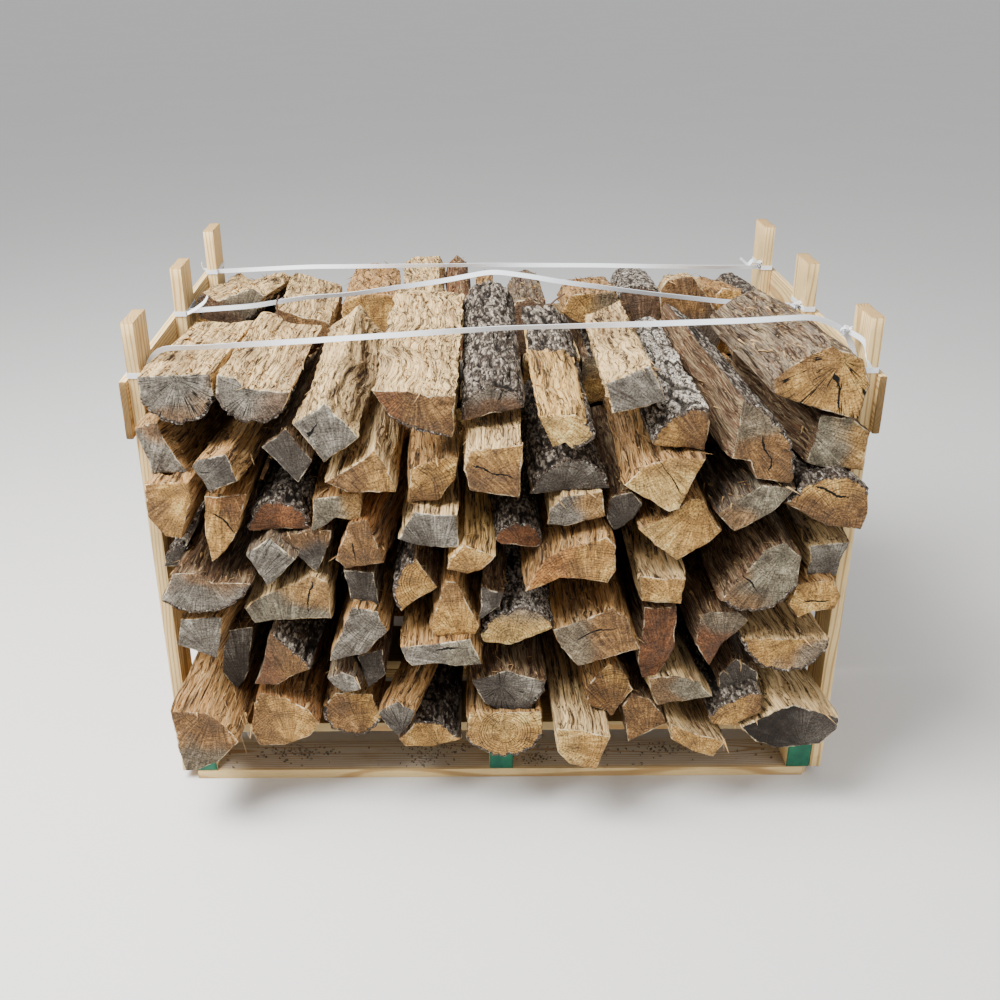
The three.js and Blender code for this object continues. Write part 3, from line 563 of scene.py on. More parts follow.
def faces_of(rings, count):
    """Four-cornered faces between neighbouring rings, and a fan on each end."""
    k, j = np.meshgrid(np.arange(rings - 1), np.arange(count), indexing="ij")
    after = (j + 1) % count
    quads = np.stack([k * count + j, (k + 1) * count + j, (k + 1) * count + after,
                      k * count + after], -1).reshape(-1, 4)
    j = np.arange(count)
    after = (j + 1) % count
    first = rings * count
    last = (rings - 1) * count
    front = np.stack([np.full(count, first), j, after], -1)
    back = np.stack([np.full(count, first + 1), last + after, last + j], -1)
    return quads, np.concatenate([front, back])


# The materials of a split, and of a board, whose third one is green paint.
END, SIDE, BARK = 0, 1, 2
GREEN = 2

# How far apart pieces lie in the noise, so that no two are alike, and in the pattern of the wood.
NOISE_APART = 977.0
END_NOISE_APART = 31.0
WOOD_APART = 410.0

# The largest slope of an end, and how far the relief of the sides may stand out and lie in.
LEAN = 0.022
LARGEST_RISE = 2.6
LARGEST_DIP = 7

# How far inside the ends the first and last sections are taken, and how far off, in metres, the crack
# is where there is none.
SECTION_INSET = 0.6
NO_CRACK = 9.0


def in_arc(angle, low, high):
    """How far inside an arc of directions, in degrees, each angle lies."""
    middle, half = (low + high) / 2, (high - low) / 2
    away = np.abs((np.degrees(angle) - middle + 180) % 360 - 180)
    return step(-8, 8, half - away)


def in_space(flat, y):
    """Points given as pairs of x and z, at y."""
    return np.stack([flat[..., 0], np.broadcast_to(y, flat.shape[:-1]), flat[..., 1]], -1)


def bounding_radii(centres, shares, ways, sections):
    """How far the outlines let each ring reach in each direction, evened out along the split."""
    radii = np.array([np.minimum.reduce([reach(centre, ways, pieces) for pieces in sections(share)])
                      for centre, share in zip(centres, shares)])
    smooth = radii.copy()
    smooth[1:-1] = (radii[:-2] + radii[1:-1] * 2 + radii[2:]) / 4
    return np.minimum(radii, smooth)


def directions_faced(ways, radii):
    """The outward direction of each side, from the outline a little behind the front."""
    outline = ways * radii[min(2, len(radii) - 1)][:, None]
    tangent = np.roll(outline, -1, 0) - np.roll(outline, 1, 0)
    return np.arctan2(-tangent[:, 0], tangent[:, 1])


def bent_by_grain(points, spots, from_end, looks):
    """Points moved sideways as the grain wanders: most in curly wood, and not at the sawn ends."""
    wavy = looks.get("wavy", 0)
    broad, narrow = 6 + 16 * wavy, 1.5 + 3 * wavy
    inside = step(0, 30, from_end)
    bent = points.copy()
    for axis, seed in ((0, 19), (2, 20)):
        bent[..., axis] += inside * (broad * lumps(spots, (230, 85, 230), seed)
                                     + narrow * lumps(spots, (75, 30, 75), seed + 2))
    return bent


def torn_relief(spots, places, from_end, looks):
    """How far a split face stands out: torn fibres, curly waves and broad bulges."""
    sizes = bpy.context.scene.firewood_sizes
    fibre = sizes.fibre_depth / MM
    bent = bent_by_grain(spots, spots, from_end, looks)
    torn = np.tanh(3.5 * lumps(bent, (9, 170, 9), 1)) * fibre * 0.9
    torn += lumps(bent, (6, 75, 6), 2) * fibre * 0.7
    torn += np.tanh(5 * lumps(bent, (23, 150, 23), 17)) * fibre
    bulge = lumps(spots, (42, 190, 42), 3) * 2.4 - 1.2
    curl = looks.get("wavy", 0) * sizes.wave_depth / MM
    wave = np.sin(places[:, None] / 5.5 + 3 * lumps(spots, (34, 60, 34), 4)) * curl
    return (torn + wave * 0.6 - curl * 0.4) * (0.3 + 0.7 * step(2, 22, from_end)) + bulge


def furrows(spots):
    """How deep in a furrow of the bark each spot lies, from 0 to 1."""
    wandering = spots + 6 * lumps(spots, (30, 40, 30), 5)[..., None]
    along = 1 - np.minimum(np.abs(lumps(wandering, (13, 64, 13), 6)) * 3.2, 1)
    cross = 1 - np.minimum(np.abs(lumps(spots, (40, 17, 40), 7)) * 5, 1)
    return np.maximum(along, 0.6 * cross)


def barked(spots, places, facing, bark, looks):
    """How much of each spot is bark, from 0 to 1, with ragged borders."""
    if "bark_beyond" in looks:
        starts, low, high = looks["bark_beyond"]
        ragged = places[:, None] + 14 * lumps(spots, (18, 60, 18), 18) - starts
        bark = np.maximum(bark, in_arc(facing, low, high) * step(-2, 2, ragged))
    return np.clip(bark + 0.35 * bark * (1 - bark) * lumps(spots, (9, 40, 9), 9), 0, 1)


def sawn_ends(centres, ways, radii, rims, places, middle, seed):
    """The rings of each end, their radii and the rim that they meet.

    Each end leans a little and is rough from the saw.
    """
    random = np.random.default_rng(seed)
    for end, outward in ((0, -1), (-1, 1)):
        cap = cap_radii(radii[end])
        flat = centres[end] + ways * cap[..., None]
        lean = random.uniform(-LEAN, LEAN, 2)
        rough = in_space(flat, seed * END_NOISE_APART)
        depth = places[end] + ((flat - middle) * lean).sum(-1)
        depth = depth + 0.8 * lumps(rough, (16, 16, 16), 11) + 0.5 * lumps(rough, (5, 5, 5), 12)
        depth[0] -= outward * 0.5
        rim_depth = places[end] + ((rims[end] - middle) * lean).sum(-1) - outward * 1.2
        yield in_space(flat, depth), cap, in_space(rims[end], rim_depth)


def end_colours(grid, spots, middle, half, looks):
    """Broad colours of the sawn ends: cloudy, with a second tone towards one side."""
    tint = np.broadcast_to(tone(looks["end"]), grid.shape).copy()
    if "second" in looks:
        name, direction = looks["second"]
        way = np.array([math.cos(math.radians(direction)), 0, math.sin(math.radians(direction))])
        flat = grid - np.array([middle[0], 0, middle[1]])
        toward = (flat * way).sum(-1) / max(half.mean(), 1) + 0.45 * lumps(spots, (26, 9e3, 26), 13)
        mix = step(-0.1, 0.6, toward)[..., None] * 0.8
        tint += (tone(name) - tint) * mix
    return tint * (1 + 0.16 * lumps(spots, (19, 9e3, 19), 14))[..., None]


def side_colours(spots, name):
    """Broad colours of the sides, darker where they have weathered."""
    tint = np.broadcast_to(tone(name), spots.shape).copy()
    weather = step(0.1, 0.75, lumps(spots, (30, 210, 30), 15))[..., None] * 0.55
    tint += (tone("umber") - tint) * weather
    return tint * (1 + 0.2 * lumps(spots, (7, 160, 7), 16))[..., None]


def main_crack(grid, length, middle, half, looks):
    """Each spot's distance from the line of the crack, its place along it and the crack's length.

    The length is negative where the crack starts at a knot hole. Only the front end has the crack.
    """
    crack = np.full(grid.shape, NO_CRACK)
    if "crack" in looks:
        start = middle + np.array(looks["crack"][:2]) * half
        run = middle + np.array(looks["crack"][2:]) * half - start
        span = np.linalg.norm(run)
        off = grid[..., [0, 2]] - start
        crack[..., 0] = (off[..., 0] * run[1] - off[..., 1] * run[0]) / span * MM
        crack[..., 0] += (grid[..., 1] > length / 2) * NO_CRACK
        crack[..., 1] = (off * run).sum(-1) / span * MM
        crack[..., 2] = span * (-MM if "knot" in looks else MM)
    return crack


def split_part(front, length, sections, far, looks, seed, spacing=5.0, fine=3.0, coarse=13.0,
               first=None):
    """One split: rings from the middle of the front end, along its sides, to that of the back end.

    sections(share) gives the outlines that bound it at that share of its length. Its grid has
    points of that spacing round it, and rings a fine step apart at the front, growing to a coarse one.
    """
    places = places_along(length, fine, coarse)
    near_ends = np.clip(places, SECTION_INSET, length - SECTION_INSET) / length
    if first is None:
        start, finish = (open_centre(sections(near_ends[end])[0]) for end in (0, -1))
    else:
        start, finish = first, first + np.array(far)
    angles, _ = angles_round(start, sections(near_ends[0])[0], spacing)
    ways = directions_at(angles)
    centres = start + (finish - start) * near_ends[:, None]
    radii = bounding_radii(centres, near_ends, ways, sections)
    facing = directions_faced(ways, radii)
    bark = np.zeros(len(angles))
    if "bark" in looks:
        bark = in_arc(facing, *looks["bark"])
        rounder = sum(np.roll(radii, shift, 1) for shift in (2, 1, 0, -1, -2)) / 5 + 1.5
        radii = radii + (rounder - radii) * bark * (bark > 0.6)

    # The relief of the sides.
    offset = np.array([0.0, seed * NOISE_APART, 0.0])
    spots = in_space(centres[:, None] + ways * radii[..., None], places[:, None]) + offset
    from_end = np.minimum(places, length - places)[:, None]
    split_shift = torn_relief(spots, places, from_end, looks)
    furrow = furrows(spots)
    bark_depth = bpy.context.scene.firewood_sizes.bark_depth
    bark_shift = 1.5 - furrow * bark_depth / MM + lumps(spots, (36, 60, 36), 8) * 2
    bark_share = barked(spots, places, facing, bark, looks)
    shift = split_shift + (bark_shift - split_shift) * bark_share
    ends_in = 1.1 * (1 - step(0, 3, from_end))
    deepest = np.minimum(0.35 * radii, LARGEST_DIP)
    radii = np.maximum(radii + np.clip(shift, -deepest, LARGEST_RISE) - ends_in, LEAST)
    rims = centres[:, None] + ways * radii[..., None]
    low, high = rims[0].min(0), rims[0].max(0)
    half, middle = (high - low) / 2, (high + low) / 2

    # The grid of rings: front end, sides and back end.
    ends = list(sawn_ends(centres, ways, radii, rims, places, middle, seed))
    (front_rings, front_radii, front_rim), (back_rings, back_radii, back_rim) = ends
    side = in_space(rims, places[:, None])
    side[0], side[-1] = front_rim, back_rim
    grid = np.concatenate([front_rings[::-1], side, back_rings])
    rim = np.concatenate([(radii[0] - front_radii)[::-1], np.zeros(radii.shape), radii[-1] - back_radii])
    caps = len(front_rings)

    # The wood is measured from the pith, which runs along the split beside its centres.
    share = np.clip(grid[..., 1] / length, 0, 1)[..., None]
    core = centres[0] + (centres[-1] - centres[0]) * share
    pith = np.array(looks.get("pith", (0.3, -0.9))) * half
    wood = np.stack([grid[..., 0] - core[..., 0] - pith[0], grid[..., 1] + seed * WOOD_APART,
                     grid[..., 2] - core[..., 1] - pith[1]], -1)
    inside = np.minimum(grid[..., 1], length - grid[..., 1])
    wood = bent_by_grain(wood, grid + offset, inside, looks)

    # Which faces are sawn end, split side and bark, and how much each point is bark, furrowed and torn.
    flat = np.zeros((caps, len(angles)))
    furrow = np.concatenate([flat, furrow, flat])
    bark = np.broadcast_to(bark, furrow.shape).copy()
    bark[caps:-caps] = bark_share
    zone = np.zeros((len(grid) - 1, len(angles)), int)
    between = (bark[:-1] + bark[1:]) / 2
    between = (between + np.roll(between, -1, 1)) / 2
    zone[caps:-caps] = SIDE
    zone[(zone == SIDE) & (between > 0.5)] = BARK
    upward = np.clip(-np.cos(facing + math.pi / 2), 0, 1)
    fray = upward * (1 - bark) * (0.35 + looks.get("frayed", 0.3))
    return closed_body(
        grid + np.array([0, front, 0]), zone, wood=wood * MM, rim=rim[..., None] * MM,
        surface=np.stack([bark, furrow, fray], -1), crack=main_crack(grid, length, middle, half, looks),
        look=[looks.get("rings", 0.35), looks.get("checks", 0.25), looks.get("lichen", 0.12)],
        end_tint=end_colours(grid, grid + offset, middle, half, looks),
        side_tint=side_colours(grid + offset, looks["side"]))


ATTRIBUTES = {
    "wood": "FLOAT_VECTOR",
    "rim": "FLOAT",
    "surface": "FLOAT_VECTOR",
    "crack": "FLOAT_VECTOR",
    "look": "FLOAT_VECTOR",
    "end_tint": "FLOAT_COLOR",
    "side_tint": "FLOAT_COLOR",
}


def with_centres(values):
    """The values of all rings, then those of the two end centres, each the mean of its last ring."""
    tail = np.stack([values[0].mean(0), values[-1].mean(0)])
    return np.concatenate([values.reshape(-1, values.shape[-1]), tail])


def closed_body(grid, zone=None, turn=0, **attributes):
    """The points, faces, zones and attributes of a body of rings, which make_piece joins.

    An attribute has a value for each point or one for all of them, and is 0 where it isn't given.
    """
    rings, count = grid.shape[:2]
    quads, fans = faces_of(rings, count)
    if zone is None:
        zone = np.zeros((rings - 1, count), int)
    points = np.roll(with_centres(grid), -turn, axis=1)
    points[:, 1] += FRONT_OF_POSTS / MM
    body = {"points": points * MM, "quads": quads, "fans": fans,
            "zones": np.concatenate([zone.ravel(), zone[0], zone[-1]])}
    for name, kind in ATTRIBUTES.items():
        width = 1 if kind == "FLOAT" else 3
        body[name] = with_centres(np.broadcast_to(attributes.get(name, 0.0), (rings, count, width)))
    return body


def make_piece(name, parts, materials, nodes, sharp=44):
    offsets = np.cumsum([0] + [len(part["points"]) for part in parts])
    faces = []
    for part, offset in zip(parts, offsets):
        faces += (part["quads"] + offset).tolist() + (part["fans"] + offset).tolist()
    mesh = bpy.data.meshes.new(name)
    mesh.from_pydata(np.concatenate([part["points"] for part in parts]).tolist(), [], faces)
    for material in materials:
        mesh.materials.append(material)
    zones = np.concatenate([part["zones"] for part in parts]).astype(np.int32)
    mesh.polygons.foreach_set("material_index", zones)
    for key, kind in ATTRIBUTES.items():
        values = np.concatenate([part[key] for part in parts]).astype(np.float32)
        field = {"FLOAT": "value", "FLOAT_VECTOR": "vector", "FLOAT_COLOR": "color"}[kind]
        if kind == "FLOAT_COLOR":
            opaque = np.ones((len(values), 1), np.float32)
            values = np.concatenate([np.clip(values, 0, 1), opaque], 1)
        mesh.attributes.new(key, kind, "POINT").data.foreach_set(field, values.ravel())
    mesh.shade_smooth()
    mesh.set_sharp_from_angle(angle=math.radians(sharp))
    mesh.validate()
    declare(name, mesh, nodes)


def declare(name, mesh, nodes):
    obj = bpy.data.objects.new(name, mesh)
    bpy.context.collection.objects.link(obj)
    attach(obj, BODY)
    if nodes:
        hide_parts(*nodes)


# Materials. Lengths in them are in metres and scales are in lumps per metre, so that a noise of scale
# 100 has lumps about 10 mm across. Real wood fibres are too fine to show and are drawn about 2 mm thick.

# The kinds of nodes: Blender's name, the inputs that take the values, the output used and settings.
KINDS = {
    "own number": ("ShaderNodeAttribute", (), "Fac", {}),
    "own vector": ("ShaderNodeAttribute", (), "Vector", {}),
    "own colour": ("ShaderNodeAttribute", (), "Color", {}),
    "object place": ("ShaderNodeTexCoord", (), "Object", {}),
    "parts": ("ShaderNodeSeparateXYZ", (0,), None, {}),
    "joined": ("ShaderNodeCombineXYZ", (0, 1, 2), 0, {}),
    "length": ("ShaderNodeVectorMath", (0,), "Value", {"operation": "LENGTH"}),
    "stretched": ("ShaderNodeMapping", ("Vector", "Scale"), 0, {}),
    "noise": ("ShaderNodeTexNoise", ("Vector", "Scale", "Detail", "Roughness"), 0, {}),
    "plates": ("ShaderNodeTexVoronoi", ("Vector", "Scale"), "Color", {}),
    "seams": ("ShaderNodeTexVoronoi", ("Vector", "Scale"), 0, {"feature": "DISTANCE_TO_EDGE"}),
    "ramp": ("ShaderNodeMapRange", ("Value", "From Min", "From Max", "To Min", "To Max"), 0,
             {"interpolation_type": "SMOOTHSTEP"}),
    "mix": ("ShaderNodeMix", (0, 6, 7), 2, {"data_type": "RGBA"}),
    "soft light": ("ShaderNodeMix", (0, 6, 7), 2, {"data_type": "RGBA", "blend_type": "SOFT_LIGHT"}),
    "relief": ("ShaderNodeBump", ("Height", "Distance"), 0, {}),
}
for operation in ("ADD", "SUBTRACT", "MULTIPLY", "DIVIDE", "MAXIMUM", "ABSOLUTE", "SINE", "ARCTAN2",
                  "LESS_THAN", "GREATER_THAN"):
    KINDS[operation] = ("ShaderNodeMath", (0, 1), 0, {"operation": operation})


def add_node(tree, kind, *values, **settings):
    """Adds a node of one of the KINDS, or of Blender's own name, and gives the output used, or all.

    Its inputs take values or sockets, in the order of its kind, or by name or number from a dict.
    """
    name, keys, used, presets = KINDS.get(kind, (kind, (), None, {}))
    node = tree.nodes.new(name)
    for key, value in {**presets, **settings}.items():
        setattr(node, key, value)
    inputs = dict(zip(keys, values)) if keys else dict(*values)
    for key, value in inputs.items():
        if isinstance(value, bpy.types.NodeSocket):
            tree.links.new(value, node.inputs[key])
        else:
            node.inputs[key].default_value = value
    return node.outputs if used is None else node.outputs[used]


def new_material(name, roughness, specular):
    """A new material, and the function that adds a node to it."""
    material = bpy.data.materials.new(name)
    material.use_nodes = True
    inputs = material.node_tree.nodes["Principled BSDF"].inputs
    inputs["Roughness"].default_value = roughness
    inputs["Specular IOR Level"].default_value = specular
    return material, partial(add_node, material.node_tree)


def finished(material, colour, height, depth):
    """The material with its colour and with a relief of that depth."""
    tree = material.node_tree
    inputs = tree.nodes["Principled BSDF"].inputs
    tree.links.new(add_node(tree, "relief", height, depth), inputs["Normal"])
    tree.links.new(colour, inputs["Base Color"])
    return material


def rgba(hex_colour):
    return (*linear(hex_colour), 1)


LIGHTER = 0xFFFFFF
BLACK = rgba(0x12100D)
# Painted shade for the crevices and tear lines of a split face.
PAINTED_CREVICE_SHADE = rgba(0x1C110A)
RING_WIDTH = 0.0046
PINE_RING_WIDTH = 0.0052


def layered(node, colour, layers):
    """A colour with further colours over it.

    Each layer has the value that it follows, the two values between which it changes, its share at
    each of them and its colour. LIGHTER lightens what is below and keeps its hue.
    """
    for value, low, high, at_low, at_high, over in layers:
        share = node("ramp", value, low, high, at_low, at_high)
        colour = node("soft light" if over == LIGHTER else "mix", share, colour, rgba(over))
    return colour


def weighted(node, *terms):
    """The sum of values, each times its weight."""
    total = node("MULTIPLY", *terms[0])
    for term in terms[1:]:
        total = node("ADD", total, node("MULTIPLY", *term))
    return total


def end_grain():
    """Sawn end: growth rings round the pith, rays and drying cracks, saw marks and a rim of bark."""
    material, node = new_material("sawn end grain", 0.88, 0.2)
    wood = node("own vector", attribute_name="wood")
    look, surface, crack = (node("parts", node("own vector", attribute_name=name))
                            for name in ("look", "surface", "crack"))
    place = node("parts", wood)
    across = node("joined", place[0], 0.0, place[2])
    radius = node("length", across)

    # Growth rings of uneven strength, 4.6 mm apart, which wander a little.
    ringed = node("ADD", radius, node("MULTIPLY", node("noise", wood, 34, 2, 0.6), 0.011))
    ring_line = node("joined", ringed, place[1], 0.0)
    uneven = node("noise", node("stretched", ring_line, (330, 1, 1)), 1.0, 3, 0.65)
    wave = node("SINE", node("MULTIPLY", ringed, 2 * math.pi / RING_WIDTH))
    late = node("MULTIPLY", node("ramp", wave, 0.0, 1.0), node("ramp", uneven, 0.42, 0.6))

    # Rays and drying checks, which run out from the pith.
    turned = node("joined", node("ARCTAN2", place[2], place[0]), place[1], radius)
    rays = node("noise", node("stretched", turned, (25, 1, 17)), 1.0, 4, 0.7)
    splits = node("noise", node("stretched", turned, (6.5, 1, 7)), 1.0, 2, 0.5)
    check = node("ABSOLUTE", node("SUBTRACT", splits, 0.5))
    broken = node("ramp", node("noise", wood, 38, 2, 0.6), 0.44, 0.54)
    checked = node("MULTIPLY", node("ramp", check, 0.009, 0.024, 1, 0), broken)
    checked = node("MULTIPLY", checked, look[1])

    # Weathered blotches of 40 mm, grime of 13 mm, and the fuzz of cut fibres and saw marks, which are too
    # fine to show and are drawn 3 mm wide.
    blotch = node("noise", wood, 26, 5, 0.66)
    grime = node("noise", wood, 75, 4, 0.7)
    fuzz = node("noise", wood, 340, 3, 0.7)
    saw = node("noise", node("stretched", across, (40, 1, 400)), 1.0, 3, 0.6)
    tint = node("own colour", attribute_name="end_tint")
    colour = layered(node, tint, [(blotch, 0.3, 0.62, 0.55, 0.0, 0x3F3832),
                                  (blotch, 0.5, 0.68, 0.0, 0.85, LIGHTER),
                                  (rays, 0.5, 0.66, 0.0, 0.95, LIGHTER),
                                  (rays, 0.32, 0.47, 0.6, 0.0, 0x2E2118)])
    ring_share = node("MULTIPLY", late, node("ramp", look[0], 0.0, 1.0, 0.3, 0.85))
    colour = node("mix", ring_share, colour, rgba(0x453425))
    colour = layered(node, colour, [(grime, 0.52, 0.72, 0.0, 0.45, 0x37322D),
                                    (fuzz, 0.34, 0.54, 0.7, 0.0, 0x2A211A),
                                    (fuzz, 0.55, 0.7, 0.0, 0.7, LIGHTER),
                                    (saw, 0.5, 0.7, 0.0, 0.45, LIGHTER),
                                    (saw, 0.3, 0.45, 0.25, 0.0, 0x241B14)])

    # The rim: a pale line painted round the edge of the end as a highlight where its fuzzy fibres catch the
    # light, and the bark where there is some.
    rim = node("own number", attribute_name="rim")
    frayed_rim = node("ADD", rim, node("ramp", grime, 0.3, 0.7, -0.0016, 0.0016))
    rim_size = bpy.context.scene.firewood_sizes.rim
    bark_line = node("MULTIPLY", node("ramp", frayed_rim, rim_size, rim_size + 0.0012, 1, 0),
                     node("ramp", surface[0], 0.4, 0.7))
    skin = node("mix", node("ramp", fuzz, 0.4, 0.6), rgba(0x1E1713), rgba(0x6B5D50))
    skin = layered(node, skin, [(node("noise", wood, 190, 2, 0.6), 0.6, 0.66, 0.0, 0.7, 0xD8D4C8)])
    # Painted highlight: a pale cream line along the rim of the end, where there is no bark.
    pale = node("MULTIPLY", node("ramp", frayed_rim, 0.0003, 0.0017, 1, 0),
                node("ramp", blotch, 0.46, 0.56, 0.0, 0.7))
    colour = node("mix", pale, colour, rgba(0xF0E0BC))
    colour = node("mix", bark_line, colour, skin)

    # The main crack, which bends and tapers, or the knot hole where its length is negative.
    share = node("DIVIDE", crack[1], node("ABSOLUTE", crack[2]))
    bend = node("ramp", node("noise", wood, 17, 1, 0.6), 0.2, 0.8, -0.007, 0.007)
    jag = node("ramp", node("noise", wood, 150, 2, 0.6), 0.2, 0.8, -0.0012, 0.0012)
    away = node("ABSOLUTE", node("ADD", node("ADD", crack[0], bend), jag))
    taper = node("MULTIPLY", node("ramp", share, -0.05, 0.2), node("ramp", share, 0.6, 1.08, 1, 0))
    wide = node("MULTIPLY", taper, node("ramp", blotch, 0.3, 0.7, 0.0007, 0.0021))
    hole = node("ADD", node("MULTIPLY", away, 1.7), node("ABSOLUTE", crack[1]))
    hole = node("MULTIPLY", node("LESS_THAN", hole, 0.009), node("LESS_THAN", crack[2], 0.0))
    gap = node("MAXIMUM", node("MAXIMUM", node("LESS_THAN", away, wide), hole), checked)
    colour = node("mix", gap, colour, BLACK)
    height = weighted(node, (fuzz, 0.6), (rays, 0.6), (saw, 0.5), (gap, -2.5), (late, -0.22))
    return finished(material, colour, height, 0.0019)


def split_wood():
    """Split face: long torn fibres, pale where fresh, with dark streaks along the grain, painted shade in
    its crevices and painted highlights on its raised fibres.
    """
    material, node = new_material("split wood", 0.8, 0.25)
    wood = node("own vector", attribute_name="wood")

    # From fibres drawn 2.3 mm thick and 50 mm long to bands 16 mm wide and 170 mm long.
    fine, strands, bands, chips, tears, streaks = (
        node("noise", node("stretched", wood, (across, along, across)), 1.0, detail, roughness)
        for across, along, detail, roughness in (
            (430, 20, 4, 0.72), (165, 6, 4, 0.64), (62, 6, 3, 0.6), (105, 12, 3, 0.6), (78, 3.2, 3, 0.6),
            (110, 7, 3, 0.6)))
    tint = node("own colour", attribute_name="side_tint")
    # Painted highlight: broad bands and the raised fine fibres are lightened towards a pale cream mixed into
    # the tint.
    painted_highlight = node("mix", 0.42, tint, rgba(0xFFE3AE))
    # Darker brown where the strands lie low: partly the wood's own streaks, partly painted shade.
    colour = layered(node, tint, [(strands, 0.36, 0.6, 0.75, 0.0, 0x6A4424)])
    colour = node("mix", node("ramp", bands, 0.5, 0.7, 0.0, 0.5), colour, painted_highlight)
    colour = node("mix", node("ramp", fine, 0.5, 0.66, 0.0, 0.8), colour, painted_highlight)
    # Painted shade: the low fine fibres, the deep crevices between the strands and the tear lines are
    # darkened towards near black.
    colour = layered(node, colour, [(fine, 0.32, 0.46, 0.75, 0.0, 0x3A2412)])
    deep = node("MULTIPLY", node("ramp", strands, 0.35, 0.45, 1, 0), node("ramp", chips, 0.42, 0.55))
    colour = node("mix", node("MULTIPLY", deep, 0.85), colour, PAINTED_CREVICE_SHADE)
    line = node("ABSOLUTE", node("SUBTRACT", tears, 0.5))
    line = node("MULTIPLY", node("ramp", line, 0.004, 0.02, 1, 0), node("ramp", chips, 0.34, 0.44))
    colour = node("mix", node("MULTIPLY", line, 0.8), colour, PAINTED_CREVICE_SHADE)
    colour = node("mix", node("MULTIPLY", node("ramp", streaks, 0.62, 0.7), 0.65), colour, rgba(0x452C19))
    height = weighted(node, (fine, 1), (strands, 1.8), (deep, -1.2), (line, -1))
    return finished(material, colour, height, 0.0046)


def furrowed_bark():
    """Hardwood bark: dark furrows between weathered ridges, their darkness partly their own colour and
    partly painted shade, with pale crusts of lichen.
    """
    material, node = new_material("furrowed bark", 0.93, 0.2)
    wood = node("own vector", attribute_name="wood")
    surface, look = (node("parts", node("own vector", attribute_name=name)) for name in ("surface", "look"))

    # Flakes of 7 by 15 mm, a grain of 2 by 6 mm and small plates of 4 by 10 mm.
    flakes = node("noise", node("stretched", wood, (150, 66, 150)), 1.0, 5, 0.72)
    grain = node("noise", node("stretched", wood, (460, 170, 460)), 1.0, 4, 0.78)
    patch = node("noise", wood, 26, 3, 0.6)
    cells = node("stretched", wood, (235, 100, 235))
    plates = node("plates", cells, 1.0)
    tones = bpy.context.scene.firewood_tones
    ridge = node("mix", node("ramp", flakes, 0.28, 0.58), rgba(0x463C34), (*tones.bark, 1))
    ridge = layered(node, ridge, [(grain, 0.48, 0.7, 0.0, 0.55, 0xA89C8C),
                                  (patch, 0.58, 0.72, 0.0, 0.5, 0x7A5236),
                                  (plates, 0.48, 0.68, 0.0, 0.68, 0xCDBFAC),
                                  (plates, 0.34, 0.5, 0.75, 0.0, 0x33261C)])
    # Painted shade, partly the bark's own darker colour: the furrows and the seams between the plates are
    # darkened to near black.
    deep = node("MULTIPLY", surface[1], node("ramp", flakes, 0.2, 0.7, 1.2, 0.75))
    seams = node("MULTIPLY", node("ramp", node("seams", cells, 1.0), 0.08, 0.32, 1, 0),
                 node("ramp", flakes, 0.3, 0.6, 1, 0.3))
    deep = node("MAXIMUM", node("ramp", deep, 0.2, 0.85), seams)
    colour = node("mix", deep, ridge, rgba(0x18110B))
    crust = node("noise", node("stretched", wood, (150, 90, 150)), 1.0, 6, 0.78)
    least = node("ramp", look[2], 0.0, 1.0, 0.7, 0.49)
    crusted = node("MULTIPLY", node("GREATER_THAN", crust, least), node("ramp", deep, 0.2, 0.7, 1.0, 0.1))
    colour = node("mix", node("MULTIPLY", crusted, 0.85), colour, (*tones.lichen, 1))
    height = weighted(node, (flakes, 1), (grain, 0.6), (seams, -0.9))
    return finished(material, colour, height, 0.0034)


def sawn_pine(name, tint_name, line_share, depth):
    """Sawn softwood: straight growth lines, fine saw fuzz and grey dirt from use."""
    material, node = new_material(name, 0.78, 0.25)
    wood = node("own vector", attribute_name="wood")
    place = node("parts", wood)
    bend = node("noise", node("stretched", wood, (6, 1.6, 6)), 1.0, 2, 0.6)
    radius = node("length", node("joined", place[0], 0.0, place[2]))
    ringed = node("ADD", radius, node("MULTIPLY", bend, 0.03))
    wave = node("SINE", node("MULTIPLY", ringed, 2 * math.pi / PINE_RING_WIDTH))
    late = node("ramp", wave, 0.2, 1.0)

    # Fuzz drawn 1.4 mm thick and 55 mm long, grey patches of 60 by 170 mm and scuffs of 11 by 33 mm.
    fibre = node("noise", node("stretched", wood, (700, 18, 700)), 1.0, 4, 0.7)
    patch = node("noise", node("stretched", wood, (16, 6, 16)), 1.0, 4, 0.65)
    scuff = node("noise", node("stretched", wood, (90, 30, 90)), 1.0, 5, 0.7)
    tint = node("own colour", attribute_name=tint_name)
    line_colour = (*bpy.context.scene.firewood_crate.pine_line, 1)
    colour = node("mix", node("MULTIPLY", late, line_share), tint, line_colour)
    colour = layered(node, colour, [(fibre, 0.28, 0.48, 0.5, 0.0, 0x8A6A3E),
                                    (patch, 0.5, 0.75, 0.0, 0.5, 0xA38F68),
                                    (scuff, 0.62, 0.76, 0.0, 0.45, 0x6E5B42)])
    return finished(material, colour, weighted(node, (fibre, 1), (scuff, -0.7)), depth)


def green_paint():
    """Thin green paint brushed on rough end grain, worn through to the wood in places."""
    material, node = new_material("green paint", 0.6, 0.4)
    wood = node("own vector", attribute_name="wood")
    wear = node("noise", node("stretched", wood, (120, 120, 120)), 1.0, 5, 0.7)
    shade = node("ramp", node("noise", wood, 45, 3, 0.6), 0.3, 0.7)
    colour = node("mix", shade, rgba(0x0F5540), (*bpy.context.scene.firewood_crate.paint, 1))
    colour = layered(node, colour, [(wear, 0.66, 0.7, 0.0, 0.8, 0xB99F72)])
    return finished(material, colour, wear, 0.001)


